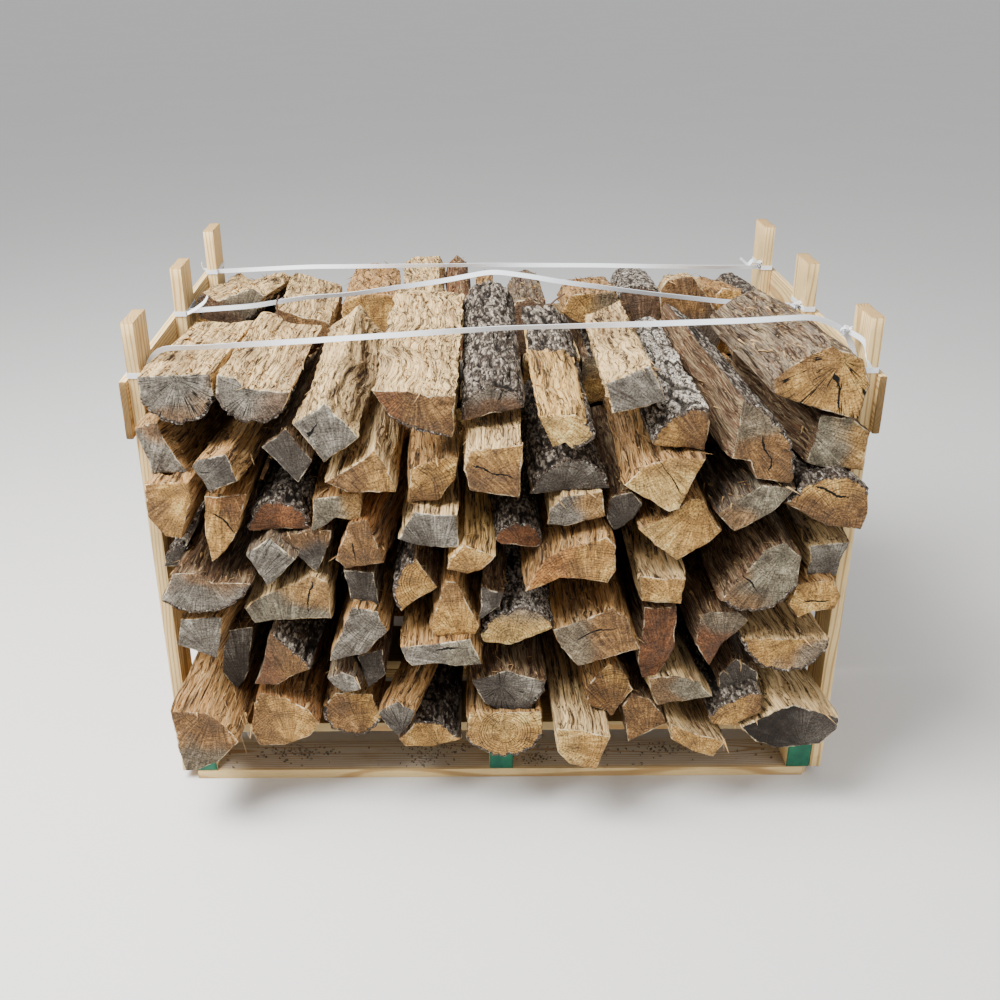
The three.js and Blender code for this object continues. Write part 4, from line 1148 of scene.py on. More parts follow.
def plain_material(name, colour, roughness, scale, change=0.25, depth=0.0003):
    """One colour, a little lighter and darker in lumps of the given scale."""
    material, node = new_material(name, roughness, 0.4)
    uneven = node("noise", node("object place"), scale, 4, 0.6)
    darker = (*(channel * (1 - change) for channel in colour), 1)
    mixed = node("mix", node("ramp", uneven, 0.3, 0.7), darker, (*colour, 1))
    return finished(material, mixed, uneven, depth)


def shared(name, make, *values):
    """The material of that name, made once."""
    return bpy.data.materials.get(name) or make(*values)


# The colours of small things, with their roughness, lumps per metre and how much they change.
SMALL_COLOURS = {
    "fresh splinter": (0xCBA46C, 0.8, 60.0, 0.5),
    "bark crumb": (0x958A7C, 0.95, 150.0, 0.8),
    "twig bark": (0x5C4433, 0.9, 200.0, 0.25),
    "nail steel": (0x77736C, 0.5, 500.0, 0.4),
}


def coloured(name):
    hex_colour, *finish = SMALL_COLOURS[name]
    return shared(name, plain_material, name, linear(hex_colour), *finish)


def firewood_materials():
    return [shared("sawn end grain", end_grain), shared("split wood", split_wood),
            shared("furrowed bark", furrowed_bark)]


# Operators, one for each group of like pieces.

# The first ten splits of LOOKS lie on top, where their torn faces are seen, and have a finer grid.
TOP_LAYER = 10
TOP_GRID = dict(spacing=3.3, fine=2.5, coarse=8.5)
LOWER_GRID = dict(spacing=4.6)
SMALL_GRID = dict(spacing=5.5, fine=4.0, coarse=16.0)
PACKED_GRID = dict(spacing=9.0, fine=12.0, coarse=30.0)

FIRST_SMALL_SEED = 60
FIRST_PACKED_SEED = 200
FIRST_TOP_SEED = 300
FIRST_BOARD_SEED = 401
UPPER_SMALL_SPLITS = 18


def named_part(node, seed):
    """A split that is a node of its own, within its solid."""
    triangles = triangles_of(node)
    front, back = triangles[..., 1].min(), triangles[..., 1].max()

    def sections(share):
        return [section(triangles, front + share * (back - front))]

    grid = TOP_GRID if seed <= TOP_LAYER else LOWER_GRID
    return split_part(front, back - front, sections, (0, 0), LOOKS[node], seed, **grid)


def listed_part(outline, front, length, far, looks, seed, triangles, **grid):
    """A split given by its outline and its drift, kept within the CAD solid that stands for it."""
    def sections(share):
        placed = outline + np.array(far) * share
        return [loop_pieces(placed), section(triangles, front + share * length)]

    inner = open_centre(loop_pieces(outline))
    return split_part(front, length, sections, far, looks, seed, first=inner, **grid)


def small_parts(triangles):
    """The smaller splits of the front row."""
    parts = []
    for i, (out, far, end, looks) in enumerate(SMALL_SPLITS):
        outline = bowed(end, lambda corner, out=out: line_of_sight(corner, -out))
        length = BACK_ROW_START + out
        drift = np.array(far) * length / SPLIT_LENGTH
        parts.append(listed_part(outline, -out, length, drift, looks, FIRST_SMALL_SEED + i, triangles,
                                 **SMALL_GRID))
    return parts


def nearer_part(points, site, other):
    """The part of a convex outline that is nearer to one site than to the other."""
    middle, away = (site + other) / 2, other - site
    side = (points - middle) @ away
    kept = []
    for i in range(len(points)):
        j = (i + 1) % len(points)
        if side[i] <= 0:
            kept.append(points[i])
        if side[i] * side[j] < 0:
            kept.append(points[i] + (points[j] - points[i]) * side[i] / (side[i] - side[j]))
    return np.array(kept)


def packed_outlines():
    """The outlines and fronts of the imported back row, by the same rule and numbers as the solid's."""
    numbers = fixed_numbers(BACK_ROW_SEED)
    half = INNER_HALF / MM - BACK_ROW_SIDE_ROOM
    floor = DECK_TOP / MM
    wide = 2 * half / BACK_COLUMNS
    tall = (BACK_ROW_SHELF - floor) / BACK_LAYERS
    sites = []
    for layer in range(BACK_LAYERS):
        shift = LAYER_SHIFT if layer % 2 else -LAYER_SHIFT
        for column in range(BACK_COLUMNS):
            across = column + 0.5 + shift + SITE_SPREAD[0] * (next(numbers) - 0.5)
            up = layer + 0.5 + SITE_SPREAD[1] * (next(numbers) - 0.5)
            sites.append(np.array([-half + across * wide, floor + up * tall]))
    start = np.array([[-half, floor + GAP], [half, floor + GAP], [half, BACK_ROW_SHELF],
                      [-half, BACK_ROW_SHELF]])
    for site in sites:
        outline = start
        for other in sites:
            if other is not site:
                outline = nearer_part(outline, site, other)
        yield outline, BACK_ROW_START + BACK_ROW_STAGGER * next(numbers)


def back_parts(triangles):
    """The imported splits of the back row, whose looks are drawn by lot, and then its top ones."""
    random = np.random.default_rng(PACKED_LOOKS_SEED)
    parts = []
    for i, (outline, front) in enumerate(packed_outlines()):
        turn = random.uniform(0, 360)
        looks = dict(end=PACKED_ENDS[random.integers(8)],
                     second=(PACKED_ENDS[random.integers(8)], turn + 90),
                     side=PACKED_SIDES[random.integers(5)], bark=(turn, turn + random.uniform(60, 150)),
                     pith=tuple(random.uniform(-1.4, 1.4, 2)), rings=random.uniform(0.3, 1),
                     checks=random.uniform(0, 1))
        if random.uniform() < 0.5:
            looks["crack"] = tuple(random.uniform(-0.7, 0.7, 4))
        middle = outline.mean(0)
        inward = middle + (outline - middle) * PACKED_SIZE
        parts.append(listed_part(inward, front, SPLIT_LENGTH, (0, 0), looks, FIRST_PACKED_SEED + i,
                                 triangles, **PACKED_GRID))
    for i, (front, far, end, looks) in enumerate(TOP_OF_BACK_ROW):
        outline = bowed(end, lambda corner: corner)
        parts.append(listed_part(outline, front, SPLIT_LENGTH, far, looks, FIRST_TOP_SEED + i, triangles))
    return parts


class FIREWOOD_OT_named_splits(bpy.types.Operator):
    """Builds the splits of the front row that are nodes of their own"""

    bl_idname = "firewood.named_splits"
    bl_label = "Large splits"

    def execute(self, context):
        for i, node in enumerate(LOOKS):
            make_piece(node + "_wood", [named_part(node, i + 1)], firewood_materials(), [node])
        return {"FINISHED"}


class FIREWOOD_OT_small_splits(bpy.types.Operator):
    """Builds the smaller splits of the front row"""

    bl_idname = "firewood.small_splits"
    bl_label = "Small splits"

    def execute(self, context):
        parts = small_parts(triangles_of(REST_OF_STACK))
        for name, share in (("upper", parts[:UPPER_SMALL_SPLITS]), ("lower", parts[UPPER_SMALL_SPLITS:])):
            make_piece("small_splits_" + name, share, firewood_materials(), [REST_OF_STACK])
        return {"FINISHED"}


class FIREWOOD_OT_back_row(bpy.types.Operator):
    """Builds the back row of splits"""

    bl_idname = "firewood.back_row"
    bl_label = "Back row"

    def execute(self, context):
        parts = back_parts(triangles_of(REST_OF_STACK))
        packed = BACK_COLUMNS * BACK_LAYERS
        for name, share in (("packed", parts[:packed]), ("top", parts[packed:])):
            make_piece("back_row_" + name, share, firewood_materials(), [REST_OF_STACK])
        return {"FINISHED"}


# Boards: their places, and how far their axes are turned so that y is the long one. Below them are the
# spacing of their points along and round them, and the rings of their ends.
BOARDS = {
    "bottom_board_": (("front", "middle", "back"), 1),
    "stringer_": (("left", "middle", "right"), 0),
    "deck_board_": (("1", "2", "3", "4"), 1),
    "post_left_": (("front", "middle", "back"), 2),
    "post_right_": (("front", "middle", "back"), 2),
    "side_plank_": (("left", "right"), 0),
}
BOARD_STEP = 26.0
BOARD_SPACING = 14.0
BOARD_SECTION_INSET = 0.5
BOARD_CAP_SHARES = (1, 0.75, 0.5, 0.25)
BOARD_WOOD_APART = 700.0
SAWN_END = 0xC3A26C
WEATHERED_TOP = 0xC6BEAE


def board_colours(node, grid, seed):
    """The colours of a board's ends and sides. Boards that lie in the shade are darker."""
    pine = np.array(bpy.context.scene.firewood_crate.pine)
    side_tint = pine * (1 + 0.1 * lumps(grid + seed * NOISE_APART, (60, 260, 60), 33))[..., None]
    end_tint = np.array(linear(SAWN_END))
    if node.startswith("side_plank"):
        end_tint = end_tint * 0.35
    if node.startswith("deck_board"):
        side_tint = side_tint * 0.45
    if node == "bottom_board_front":
        # This board is turned: its first axis is z, its second x and its third y.
        top = step(6, 14, grid[..., 0])[..., None] * (grid[..., 2] > 3)[..., None]
        side_tint += (np.array(linear(WEATHERED_TOP)) - side_tint) * top * 0.95
    return end_tint, side_tint


def board_part(node, turn, seed):
    """A board with worn edges, along whichever axis is its long one."""
    worn = bpy.context.scene.firewood_crate.edge_round / MM
    triangles = triangles_of(node, turn)
    front, back = triangles[..., 1].min(), triangles[..., 1].max()
    length = back - front
    even = places_along(length, BOARD_STEP, BOARD_STEP)
    kinks = np.unique(np.round(triangles[..., 1], 3)) - front
    inside = kinks[(kinks > worn) & (kinks < length - worn)]
    places = np.unique(np.concatenate([[worn, length - worn], inside, even[1:-1]]))
    inset = BOARD_SECTION_INSET
    cuts = [section(triangles, front + place) for place in np.clip(places, inset, length - inset)]
    middles = np.array([(cut.min((0, 1)) + cut.max((0, 1))) / 2 for cut in cuts])
    halfway = len(cuts) // 2
    angles, drawn_in = angles_round(middles[halfway], cuts[halfway], BOARD_SPACING, worn)
    ways = directions_at(angles)
    radii = np.array([reach(middle, ways, cut) for middle, cut in zip(middles, cuts)]) - drawn_in
    side = in_space(middles[:, None] + ways * radii[..., None], places[:, None])
    spots = side + np.array([0, seed * NOISE_APART, 0])
    wear = 0.35 * np.clip(lumps(spots, (30, 45, 30), 31), -1, 0.2)
    side[..., [0, 2]] += ways * wear[..., None]
    ends = []
    for end, outward in ((0, -1), (-1, 1)):
        cap = np.array([(radii[end] - worn) * share for share in BOARD_CAP_SHARES])
        flat = middles[end] + ways * cap[..., None]
        rough = 0.5 * lumps(in_space(flat, seed * END_NOISE_APART), (9, 9, 9), 32)
        ends.append(in_space(flat, places[end] + outward * worn + rough))
    grid = np.concatenate([ends[0][::-1], side, ends[1]])
    caps = len(BOARD_CAP_SHARES)
    zone = np.zeros((len(grid) - 1, len(angles)), int)
    zone[caps:-caps] = SIDE
    if node.startswith("stringer"):
        zone[:caps] = GREEN
    random = np.random.default_rng(seed)
    pith = random.uniform(-1, 1, 2) * 40 + np.sign(random.uniform(-1, 1, 2)) * 25
    wood = grid - np.array([middles[0][0] + pith[0], -seed * BOARD_WOOD_APART, middles[0][1] + pith[1]])
    end_tint, side_tint = board_colours(node, grid, seed)
    return closed_body(grid + np.array([0, front, 0]), zone, turn, wood=wood * MM, end_tint=end_tint,
                       side_tint=side_tint)


class FIREWOOD_OT_crate_boards(bpy.types.Operator):
    """Builds the sawn boards, posts and planks of the crate"""

    bl_idname = "firewood.crate_boards"
    bl_label = "Crate boards"

    def execute(self, context):
        materials = [shared("rough pine end", sawn_pine, "rough pine end", "end_tint", 0.75, 0.0016),
                     shared("sawn pine", sawn_pine, "sawn pine", "side_tint", 0.62, 0.0006),
                     shared("green paint", green_paint)]
        boards = [(prefix + place, turn) for prefix, (places, turn) in BOARDS.items() for place in places]
        for i, (node, turn) in enumerate(boards):
            part = board_part(node, turn, FIRST_BOARD_SEED + i)
            make_piece(node + "_board", [part], materials, [node], sharp=60)
        return {"FINISHED"}


def unit(vectors):
    return vectors / np.maximum(np.linalg.norm(vectors, axis=-1, keepdims=True), 1e-9)


def distances_along(path):
    return np.concatenate([[0], np.cumsum(np.linalg.norm(np.diff(path, axis=0), axis=1))])


def swept(path, across, profile, sizes=None):
    """A profile carried along a path, in millimetres in the frame of the photo's fit."""
    path = np.array(path, float)
    tangent = unit(np.gradient(path, axis=0))
    across = np.broadcast_to(np.array(across, float), path.shape)
    across = unit(across - (across * tangent).sum(-1, keepdims=True) * tangent)
    outward = np.cross(across, tangent)
    sizes = np.ones(len(path)) if sizes is None else np.array(sizes)
    spread = profile[None] * sizes[:, None, None]
    grid = path[:, None] + across[:, None] * spread[..., :1] + outward[:, None] * spread[..., 1:]
    return closed_body(grid, wood=in_space(spread, distances_along(path)[:, None]) * MM)


def curve_through(points, steps=7):
    """A smooth path through the points."""
    points = np.array(points, float)
    padded = np.concatenate([points[:1], points, points[-1:]])
    path = []
    for a, b, c, d in zip(padded, padded[1:], padded[2:], padded[3:]):
        for share in np.arange(steps) / steps:
            path.append(0.5 * (2 * b + (c - a) * share + (2 * a - 5 * b + 4 * c - d) * share ** 2
                               + (3 * b - a - 3 * c + d) * share ** 3))
    return np.array(path + [points[-1]])


def taut_path(points, spacing=12.0, softened=3):
    """A path that runs straight from point to point and turns a little softly at each of them."""
    points = np.array(points, float)
    so_far = distances_along(points)
    even = np.linspace(0, so_far[-1], int(so_far[-1] / spacing))
    path = np.stack([np.interp(even, so_far, points[:, axis]) for axis in range(3)], 1)
    for _ in range(softened):
        path[1:-1] = (path[:-2] + 2 * path[1:-1] + path[2:]) / 4
    return path


def band_profile():
    crate = bpy.context.scene.firewood_crate
    wide, thick = crate.strap_wide / MM / 2, crate.strap_thick / MM / 2
    return np.array([(-wide, -thick), (0, -thick), (wide, -thick), (wide, thick), (0, thick),
                     (-wide, thick)])


# Each strap: the front of the posts that it loops round, how far it lies behind that, the points that
# it passes on the way, as [x, z], its knot, and its loose ends, each with its points, the way across
# the band and its width as a share of the band's.
STRAPS = {
    "front": (0, 42, [(-582, 838), (-574, 847), (-500, 848), (-320, 858), (-140, 869), (0, 877),
                      (100, 879), (240, 882), (390, 886), (505, 892), (560, 866)],
              (556, 40, 868),
              [([(560, 36, 868), (578, 20, 858), (583, 4, 840), (588, -2, 818)], (0, 0.3, 1), 0.9)]),
    "middle": (362, 23, [(-470, 822), (-370, 838), (-279, 844), (-107, 868), (-11, 886), (60, 876),
                         (123, 864), (295, 840), (428, 824)],
               (577, 380, 816),
               [([(-592, 358, 816), (-575, 352, 826), (-556, 350, 840), (-548, 348, 852)], (0, 0.5, 1), 0.7),
                ([(577, 384, 818), (566, 372, 812), (560, 352, 800), (556, 340, 784)], (0.4, 0.2, 1), 0.8)]),
    "back": (689, 8, [(-400, 822), (0, 823), (233, 820), (437, 815)],
             (577, 694, 820),
             [([(-618, 700, 816), (-626, 694, 822), (-627, 690, 834)], (0, 1, 0.4), 0.7),
              ([(577, 690, 818), (560, 684, 832), (548, 680, 824), (530, 676, 838)], (0, 0.6, 1), 0.8)]),
}

# The bands go round the posts at this height, this far from the middle, a little wavy and clear of
# the posts, whose tops lean to the left by POST_LEAN.
LOOP_HEIGHT = 813.9
LOOP_HALF = 610.9
LOOP_WAVE = 1.4
BAND_CLEAR = 0.9
INNER_CLEAR = 1.4
POST_LEAN = 8
POST_THICK = 22
POST_DEEP = 84
KNOT_TURNS = 2.3
KNOT_POINTS = 36


def post_loop(side, y):
    """The path of a band round the post on the left, side -1, or the right, side 1."""
    low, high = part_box("post_%s_front" % ("left" if side < 0 else "right"))
    lean = -POST_LEAN * (LOOP_HEIGHT - DECK_TOP / MM) / (high.z / MM - DECK_TOP / MM)
    outer = side * LOOP_HALF + lean
    inner = side * (LOOP_HALF - POST_THICK - INNER_CLEAR) + lean
    near, rear = y - BAND_CLEAR, y + POST_DEEP + BAND_CLEAR
    corners = [(inner, near), (outer, near), (outer, rear), (inner, rear)]
    path = []
    for i in range(4):
        a, b = np.array(corners[i]), np.array(corners[(i + 1) % 4])
        for share in (0.03, 0.35, 0.65, 0.97):
            path.append((*(a + (b - a) * share), LOOP_HEIGHT + LOOP_WAVE * math.sin(3.1 * len(path))))
    return path + path[:2]


def knot(place, profile, seed):
    """A small hitch: a few tight turns of band round each other."""
    random = np.random.default_rng(seed)
    turns = np.linspace(0, 2 * math.pi * KNOT_TURNS, KNOT_POINTS)
    wobble = random.uniform(-0.4, 0.4, 3)
    path = np.stack([place[0] + 8 * np.cos(turns) + 3 * np.cos(2.3 * turns + wobble[0]),
                     place[1] + 4.5 * np.sin(turns + 0.6) + 2 * np.sin(1.7 * turns + wobble[1]),
                     place[2] + 7 * np.sin(turns * 1.4 + wobble[2])], 1)
    return swept(path, (0.3, 1, 0.2), profile * 0.62)


class FIREWOOD_OT_straps(bpy.types.Operator):
    """Builds the white bands that hold the stack, with their knots and loose ends"""

    bl_idname = "firewood.straps"
    bl_label = "Straps"

    def execute(self, context):
        white = shared("woven white band", plain_material, "woven white band",
                       tuple(context.scene.firewood_crate.strap), 0.45, 900.0, 0.1, 0.0002)
        profile = band_profile()
        reach_out = INNER_HALF / MM - 1.5
        for i, (name, (post, inset, run, hitch, tails)) in enumerate(STRAPS.items()):
            y = post + inset
            ends = [(-reach_out - 7, LOOP_HEIGHT), (reach_out - 7, LOOP_HEIGHT)]
            path = taut_path([(x, y, z) for x, z in [ends[0], *run, ends[1]]])
            twist = 0.45 * np.sin(path[:, 0] / 97.0 + y)
            twist *= np.clip((600 - np.abs(path[:, 0])) / 90, 0, 1)
            across = np.stack([np.zeros(len(path)), np.sin(twist), np.cos(twist)], 1)
            parts = [swept(path, across, profile)]
            parts += [swept(post_loop(side, post), (0, 0, 1), profile) for side in (-1, 1)]
            parts.append(knot(hitch, profile, i + 1))
            parts += [swept(curve_through(points), way, profile * size) for points, way, size in tails]
            make_piece("band_" + name, parts, [white], ["strap_" + name], sharp=35)
        return {"FINISHED"}


SCATTER_SETTINGS = (("Geometry", "NodeSocketGeometry", None), ("Density", "NodeSocketFloat", 100.0),
                    ("Shortest", "NodeSocketFloat", 0.01), ("Longest", "NodeSocketFloat", 0.05),
                    ("Thickness", "NodeSocketFloat", 0.001), ("Lift", "NodeSocketFloat", 0.6),
                    ("Seed", "NodeSocketInt", 1))


def scatter_tree(name, slivers, material):
    """Geometry nodes that scatter slivers or crumbs over a mesh, thickly where its fray is high."""
    tree = bpy.data.node_groups.new(name, "GeometryNodeTree")
    for label, kind, value in SCATTER_SETTINGS:
        socket = tree.interface.new_socket(label, in_out="INPUT", socket_type=kind)
        if value is not None:
            socket.default_value = value
    tree.interface.new_socket("Geometry", in_out="OUTPUT", socket_type="NodeSocketGeometry")
    node = partial(add_node, tree)
    given = node("NodeGroupInput")
    fray = node("GeometryNodeInputNamedAttribute", {"Name": "fray"}, data_type="FLOAT")[0]
    points = node("GeometryNodeDistributePointsOnFaces",
                  {"Mesh": given["Geometry"], "Density": node("MULTIPLY", given["Density"], fray),
                   "Seed": given["Seed"]})["Points"]
    if slivers:
        shape = node("GeometryNodeMeshCone", {"Vertices": 4, "Radius Top": 0.12, "Radius Bottom": 1.0,
                                              "Depth": 1.0})["Mesh"]
        low, high = node("joined", node("SUBTRACT", 1.6, given["Lift"]), -0.6, -0.35), (1.6, 0.6, 0.35)
    else:
        shape = node("GeometryNodeMeshIcoSphere", {"Radius": 1.0, "Subdivisions": 1})["Mesh"]
        low, high = (0.0, 0.0, 0.0), (6.3, 6.3, 6.3)
    turn = node("FunctionNodeRandomValue", {0: low, 1: high, "Seed": 3}, data_type="FLOAT_VECTOR")[0]
    length = node("FunctionNodeRandomValue", {2: given["Shortest"], 3: given["Longest"], "Seed": 5},
                  data_type="FLOAT")[1]
    thick = node("FunctionNodeRandomValue", {2: 0.35, 3: 1.0, "Seed": 9}, data_type="FLOAT")[1]
    wide = node("MULTIPLY", given["Thickness"], thick)
    size = node("joined", wide, node("MULTIPLY", wide, 0.5), length)
    placed = node("GeometryNodeInstanceOnPoints",
                  {"Points": points, "Instance": shape, "Rotation": turn, "Scale": size})[0]
    real = node("GeometryNodeRealizeInstances", {"Geometry": placed})[0]
    done = node("GeometryNodeSetMaterial", {"Geometry": real, "Material": material})[0]
    node("NodeGroupOutput", {"Geometry": done})
    return tree


# Splinters stand where the fray is at least this, on faces above this height or this near the front.
LEAST_FRAY = 0.05
TOP_OF_STACK = 0.7
NEAR_FRONT = 0.02


def scattered(name, mesh, tree, values):
    """The plain mesh that a scatter tree makes of a mesh."""
    source = bpy.data.objects.new(name + "_source", mesh)
    bpy.context.collection.objects.link(source)
    modifier = source.modifiers.new("Scatter", "NODES")
    modifier.node_group = tree
    for item in tree.interface.items_tree:
        if item.in_out == "INPUT" and item.name in values:
            modifier[item.identifier] = values[item.name]
    graph = bpy.context.evaluated_depsgraph_get()
    result = bpy.data.meshes.new_from_object(source.evaluated_get(graph))
    source.modifiers.remove(modifier)
    bpy.data.objects.remove(source)
    result.name = name
    return result


def mesh_with_fray(name, points, faces, fray):
    mesh = bpy.data.meshes.new(name)
    mesh.from_pydata(points.tolist(), [], faces)
    mesh.attributes.new("fray", "FLOAT", "POINT").data.foreach_set("value", fray.astype(np.float32))
    return mesh


def vectors_of(layer, field, count):
    """The three numbers that a layer of a mesh has for each vertex."""
    values = np.empty(count * 3)
    layer.foreach_get(field, values)
    return values.reshape(-1, 3)


def torn_faces():
    """The split faces that show from above or near the front, as one mesh with its fray."""
    points, faces, fray, offset = [], [], [], 0
    for obj in bpy.context.scene.objects:
        mesh = obj.data
        if obj.type != "MESH" or "surface" not in mesh.attributes or not mesh.materials:
            continue
        if mesh.materials[0].name != "sawn end grain" or obj.name == "back_row_packed":
            continue
        count = len(mesh.vertices)
        place = vectors_of(mesh.vertices, "co", count)
        torn = vectors_of(mesh.attributes["surface"].data, "vector", count)[:, 2]
        front = place[:, 1] < FRONT_OF_POSTS + NEAR_FRONT
        share = torn * np.where(place[:, 2] > TOP_OF_STACK, 1.0, np.where(front, 0.8, 0.0))
        points.append(place)
        fray.append(share)
        for face in mesh.polygons:
            if face.material_index == SIDE and share[face.vertices[0]] > LEAST_FRAY:
                faces.append([offset + v for v in face.vertices])
        offset += count
    return mesh_with_fray("torn", np.concatenate(points), faces, np.concatenate(fray))


class FIREWOOD_OT_splinters(bpy.types.Operator):
    """Scatters torn slivers over the split faces"""

    bl_idname = "firewood.splinters"
    bl_label = "Splinters"

    def execute(self, context):
        count = context.scene.firewood_crate.splinters
        tree = scatter_tree("Splinters", True, coloured("fresh splinter"))
        fine = {"Density": float(count) * 2.6, "Shortest": 0.008, "Longest": 0.036, "Thickness": 0.0018,
                "Lift": 0.65, "Seed": 4}
        flakes = {"Density": float(count) * 0.5, "Shortest": 0.014, "Longest": 0.05, "Thickness": 0.0036,
                  "Lift": 0.3, "Seed": 6}
        for name, values in (("splinters", fine), ("torn_flakes", flakes)):
            mesh = scattered(name, torn_faces(), tree, values)
            declare(name, mesh, [])
        return {"FINISHED"}


# Patches of crumbs on the front bottom board, as x, y, half width and half depth. A few lie elsewhere.
CRUMB_PATCHES = [(-142, 40, 40, 34), (64, 34, 38, 22), (-400, 55, 60, 22), (330, 60, 90, 20),
                 (-20, 70, 120, 14)]
STRAY_CRUMBS = 0.03
CRUMB_HEIGHT = 0.0006


class FIREWOOD_OT_crumbs(bpy.types.Operator):
    """Scatters crumbs of bark on the front bottom board"""

    bl_idname = "firewood.crumbs"
    bl_label = "Bark crumbs"

    def execute(self, context):
        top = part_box("bottom_board_front")[1].z + CRUMB_HEIGHT
        across = np.arange(-570, 571, 10.0)
        deep = np.arange(6, 86, 8.0)
        x, y = np.meshgrid(across, deep, indexing="ij")
        fray = np.full(x.shape, STRAY_CRUMBS)
        for px, py, wide, tall in CRUMB_PATCHES:
            fray += np.exp(-(((x - px) / wide) ** 2 + ((y - py) / tall) ** 2) * 1.6)
        points = np.stack([x * MM, y * MM + FRONT_OF_POSTS, np.full(x.shape, top)], -1).reshape(-1, 3)
        n = len(deep)
        faces = [[i * n + j, (i + 1) * n + j, (i + 1) * n + j + 1, i * n + j + 1]
                 for i in range(len(across) - 1) for j in range(n - 1)]
        tree = scatter_tree("Crumbs", False, coloured("bark crumb"))
        values = {"Density": float(context.scene.firewood_crate.crumbs) * 5, "Shortest": 0.0009,
                  "Longest": 0.0034, "Thickness": 0.0042, "Seed": 8}
        mesh = scattered("bark_crumbs", mesh_with_fray("crumb_ground", points, faces, fray.ravel()),
                         tree, values)
        declare("bark_crumbs", mesh, [])
        return {"FINISHED"}


def ring_profile(radius, count=6):
    turns = np.arange(count) * 2 * math.pi / count
    return np.stack([np.cos(turns), np.sin(turns)], 1) * radius


# Twigs, as points and radius; the middles of the nail heads, as x and y; and the loose fibres, which
# hang from the lowest splits on the left between two places along the crate.
TWIGS = (([(-402, 250, 838), (-404, 252, 862), (-399, 251, 878)], 1.8),
         ([(88, 300, 838), (104, 304, 852), (121, 310, 862)], 1.6))
NAILS = ((-88, 52), (-415, 30), (548, 50), (-560, 48), (575, 30), (6, 30))
NAIL_RADIUS = 3.6
FIBRES = 26
FIBRES_SEED = 3
FIBRES_LEFT, FIBRES_RIGHT = -575, -455


class FIREWOOD_OT_small_things(bpy.types.Operator):
    """Builds the twigs, the long fibres that hang from the splits and the nail heads"""

    bl_idname = "firewood.small_things"
    bl_label = "Twigs, fibres and nails"

    def execute(self, context):
        random = np.random.default_rng(FIBRES_SEED)
        twigs = [swept(curve_through(points), (0, 1, 0.1), ring_profile(radius))
                 for points, radius in TWIGS]
        make_piece("twigs", twigs, [coloured("twig bark")], [])
        fibres = []
        for _ in range(FIBRES):
            x = random.uniform(FIBRES_LEFT, FIBRES_RIGHT)
            z = 300 - 0.75 * (x - FIBRES_LEFT) + random.uniform(-30, 14)
            fall = random.uniform(15, 62)
            drift = random.uniform(-16, 30)
            path = curve_through([(x, -96, z), (x + drift * 0.4, -108, z - fall * 0.3),
                                  (x + drift, -112 + random.uniform(-8, 10), z - fall)], 5)
            thin = np.linspace(1, 0.25, len(path))
            fibres.append(swept(path, (1, 0.3, 0), ring_profile(random.uniform(0.4, 0.9), 3), thin))
        make_piece("hanging_fibres", fibres, [coloured("fresh splinter")], [])
        nails = []
        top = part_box("bottom_board_front")[1].z / MM
        for x, y in NAILS:
            path = [(x, y, top - 2), (x, y, top + 0.7), (x, y, top + 1.1)]
            nails.append(swept(path, (1, 0, 0), ring_profile(NAIL_RADIUS, 12), [1, 1, 0.8]))
        make_piece("nail_heads", nails, [coloured("nail steel")], [], sharp=30)
        return {"FINISHED"}


# The camera of the photo's fit, in metres from the front of the posts, and how it is turned: sideways,
# down and rolled, in degrees.
EYE_PLACE = (-0.0875, -1.798)
EYE_HEIGHT = 1.4245
VIEW_TURN = (-0.2, 25.12, -0.5)
FOCAL_PER_WIDTH = 1.162
SENSOR = 36
SHIFT = (0.05, 0.003)
FLOOR_HALF = 80.0
LIT_PLACE = Vector((0, 0, 0.45))


def area_light(name, power, size, place):
    """A square light that shines on the middle of the stack."""
    light = bpy.data.lights.new(name, "AREA")
    light.energy = power
    light.size = size
    obj = bpy.data.objects.new(name, light)
    obj.location = place
    obj.rotation_euler = (LIT_PLACE - Vector(place)).to_track_quat("-Z", "Y").to_euler()
    bpy.context.collection.objects.link(obj)


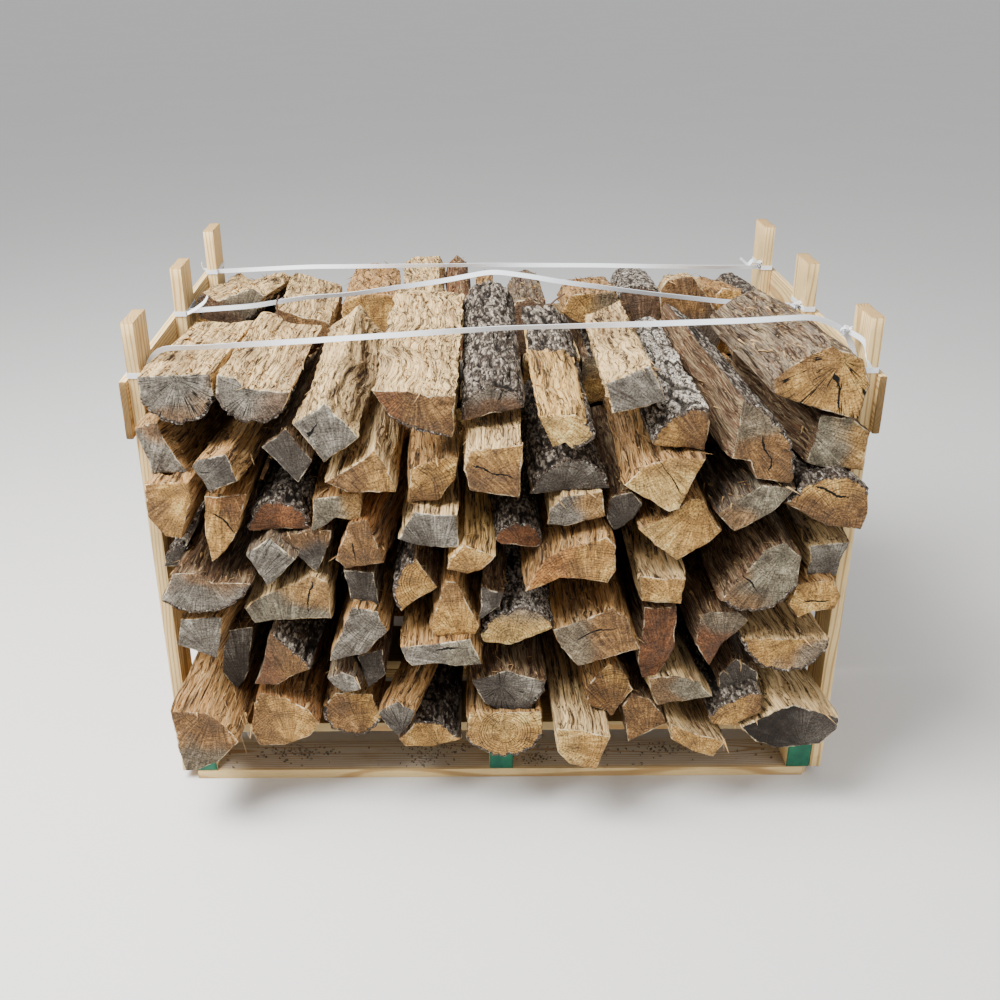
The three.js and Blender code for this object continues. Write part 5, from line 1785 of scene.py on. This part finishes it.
class FIREWOOD_OT_stage(bpy.types.Operator):
    """Sets the pale floor, the soft lights and the camera"""

    bl_idname = "firewood.stage"
    bl_label = "Stage"

    def execute(self, context):
        settings = context.scene.firewood_stage
        mesh = bpy.data.meshes.new("floor")
        corners = [(x * FLOOR_HALF, y * FLOOR_HALF, 0) for x, y in ((-1, -1), (1, -1), (1, 1), (-1, 1))]
        mesh.from_pydata(corners, [], [(0, 1, 2, 3)])
        mesh.materials.append(plain_material("studio floor", tuple(settings.floor), 0.9, 1.0, 0.02))
        floor = bpy.data.objects.new("floor", mesh)
        context.collection.objects.link(floor)
        area_light("key", settings.key, 1.8, (-1.3, -0.9, 2.9))
        area_light("fill", settings.fill, 2.5, (2.4, -2.0, 1.6))
        world = bpy.data.worlds.new("studio")
        context.scene.world = world
        world.use_nodes = True
        background = world.node_tree.nodes["Background"]
        background.inputs["Color"].default_value = rgba(0xF4F6FA)
        background.inputs["Strength"].default_value = settings.sky
        turn, down, roll = (math.radians(angle) for angle in VIEW_TURN)
        ahead = Vector((math.sin(turn) * math.cos(down), math.cos(turn) * math.cos(down), -math.sin(down)))
        right = Vector((math.cos(turn), -math.sin(turn), 0))
        up = right.cross(ahead)
        rolled = math.cos(roll) * right + math.sin(roll) * up
        upright = -math.sin(roll) * right + math.cos(roll) * up
        camera = bpy.data.objects.new("camera", bpy.data.cameras.new("camera"))
        place = Matrix((rolled, upright, -ahead)).transposed().to_4x4()
        place.translation = Vector((EYE_PLACE[0], EYE_PLACE[1] + FRONT_OF_POSTS, EYE_HEIGHT))
        camera.matrix_world = place
        camera.data.sensor_width = SENSOR
        camera.data.lens = FOCAL_PER_WIDTH * SENSOR
        camera.data.shift_x, camera.data.shift_y = SHIFT
        context.collection.objects.link(camera)
        context.scene.camera = camera
        return {"FINISHED"}


OPERATORS = [FIREWOOD_OT_named_splits, FIREWOOD_OT_small_splits, FIREWOOD_OT_back_row,
             FIREWOOD_OT_crate_boards, FIREWOOD_OT_straps, FIREWOOD_OT_splinters,
             FIREWOOD_OT_crumbs, FIREWOOD_OT_small_things, FIREWOOD_OT_stage]


class FIREWOOD_PT_panel(bpy.types.Panel):
    """Lists the steps that build the crate of firewood"""

    bl_label = "Crate of Firewood"
    bl_idname = "FIREWOOD_PT_panel"
    bl_space_type = "VIEW_3D"
    bl_region_type = "UI"
    bl_category = "Firewood"

    def draw(self, context):
        for operator in OPERATORS:
            self.layout.operator(operator.bl_idname)


SETTINGS = {"firewood_tones": FirewoodTones, "firewood_sizes": FirewoodSizes,
            "firewood_crate": FirewoodCrate, "firewood_stage": FirewoodStage}


def register():
    for cls in [*SETTINGS.values(), *OPERATORS, FIREWOOD_PT_panel]:
        bpy.utils.register_class(cls)
    for name, cls in SETTINGS.items():
        setattr(bpy.types.Scene, name, PointerProperty(type=cls))


def unregister():
    for name in SETTINGS:
        delattr(bpy.types.Scene, name)
    for cls in [FIREWOOD_PT_panel, *OPERATORS, *SETTINGS.values()]:
        bpy.utils.unregister_class(cls)


def main():
    register()
    bpy.ops.firewood.named_splits()
    bpy.ops.firewood.small_splits()
    bpy.ops.firewood.back_row()
    bpy.ops.firewood.crate_boards()
    bpy.ops.firewood.straps()
    bpy.ops.firewood.splinters()
    bpy.ops.firewood.crumbs()
    bpy.ops.firewood.small_things()
    bpy.ops.firewood.stage()


if __name__ == "__main__":
    main()
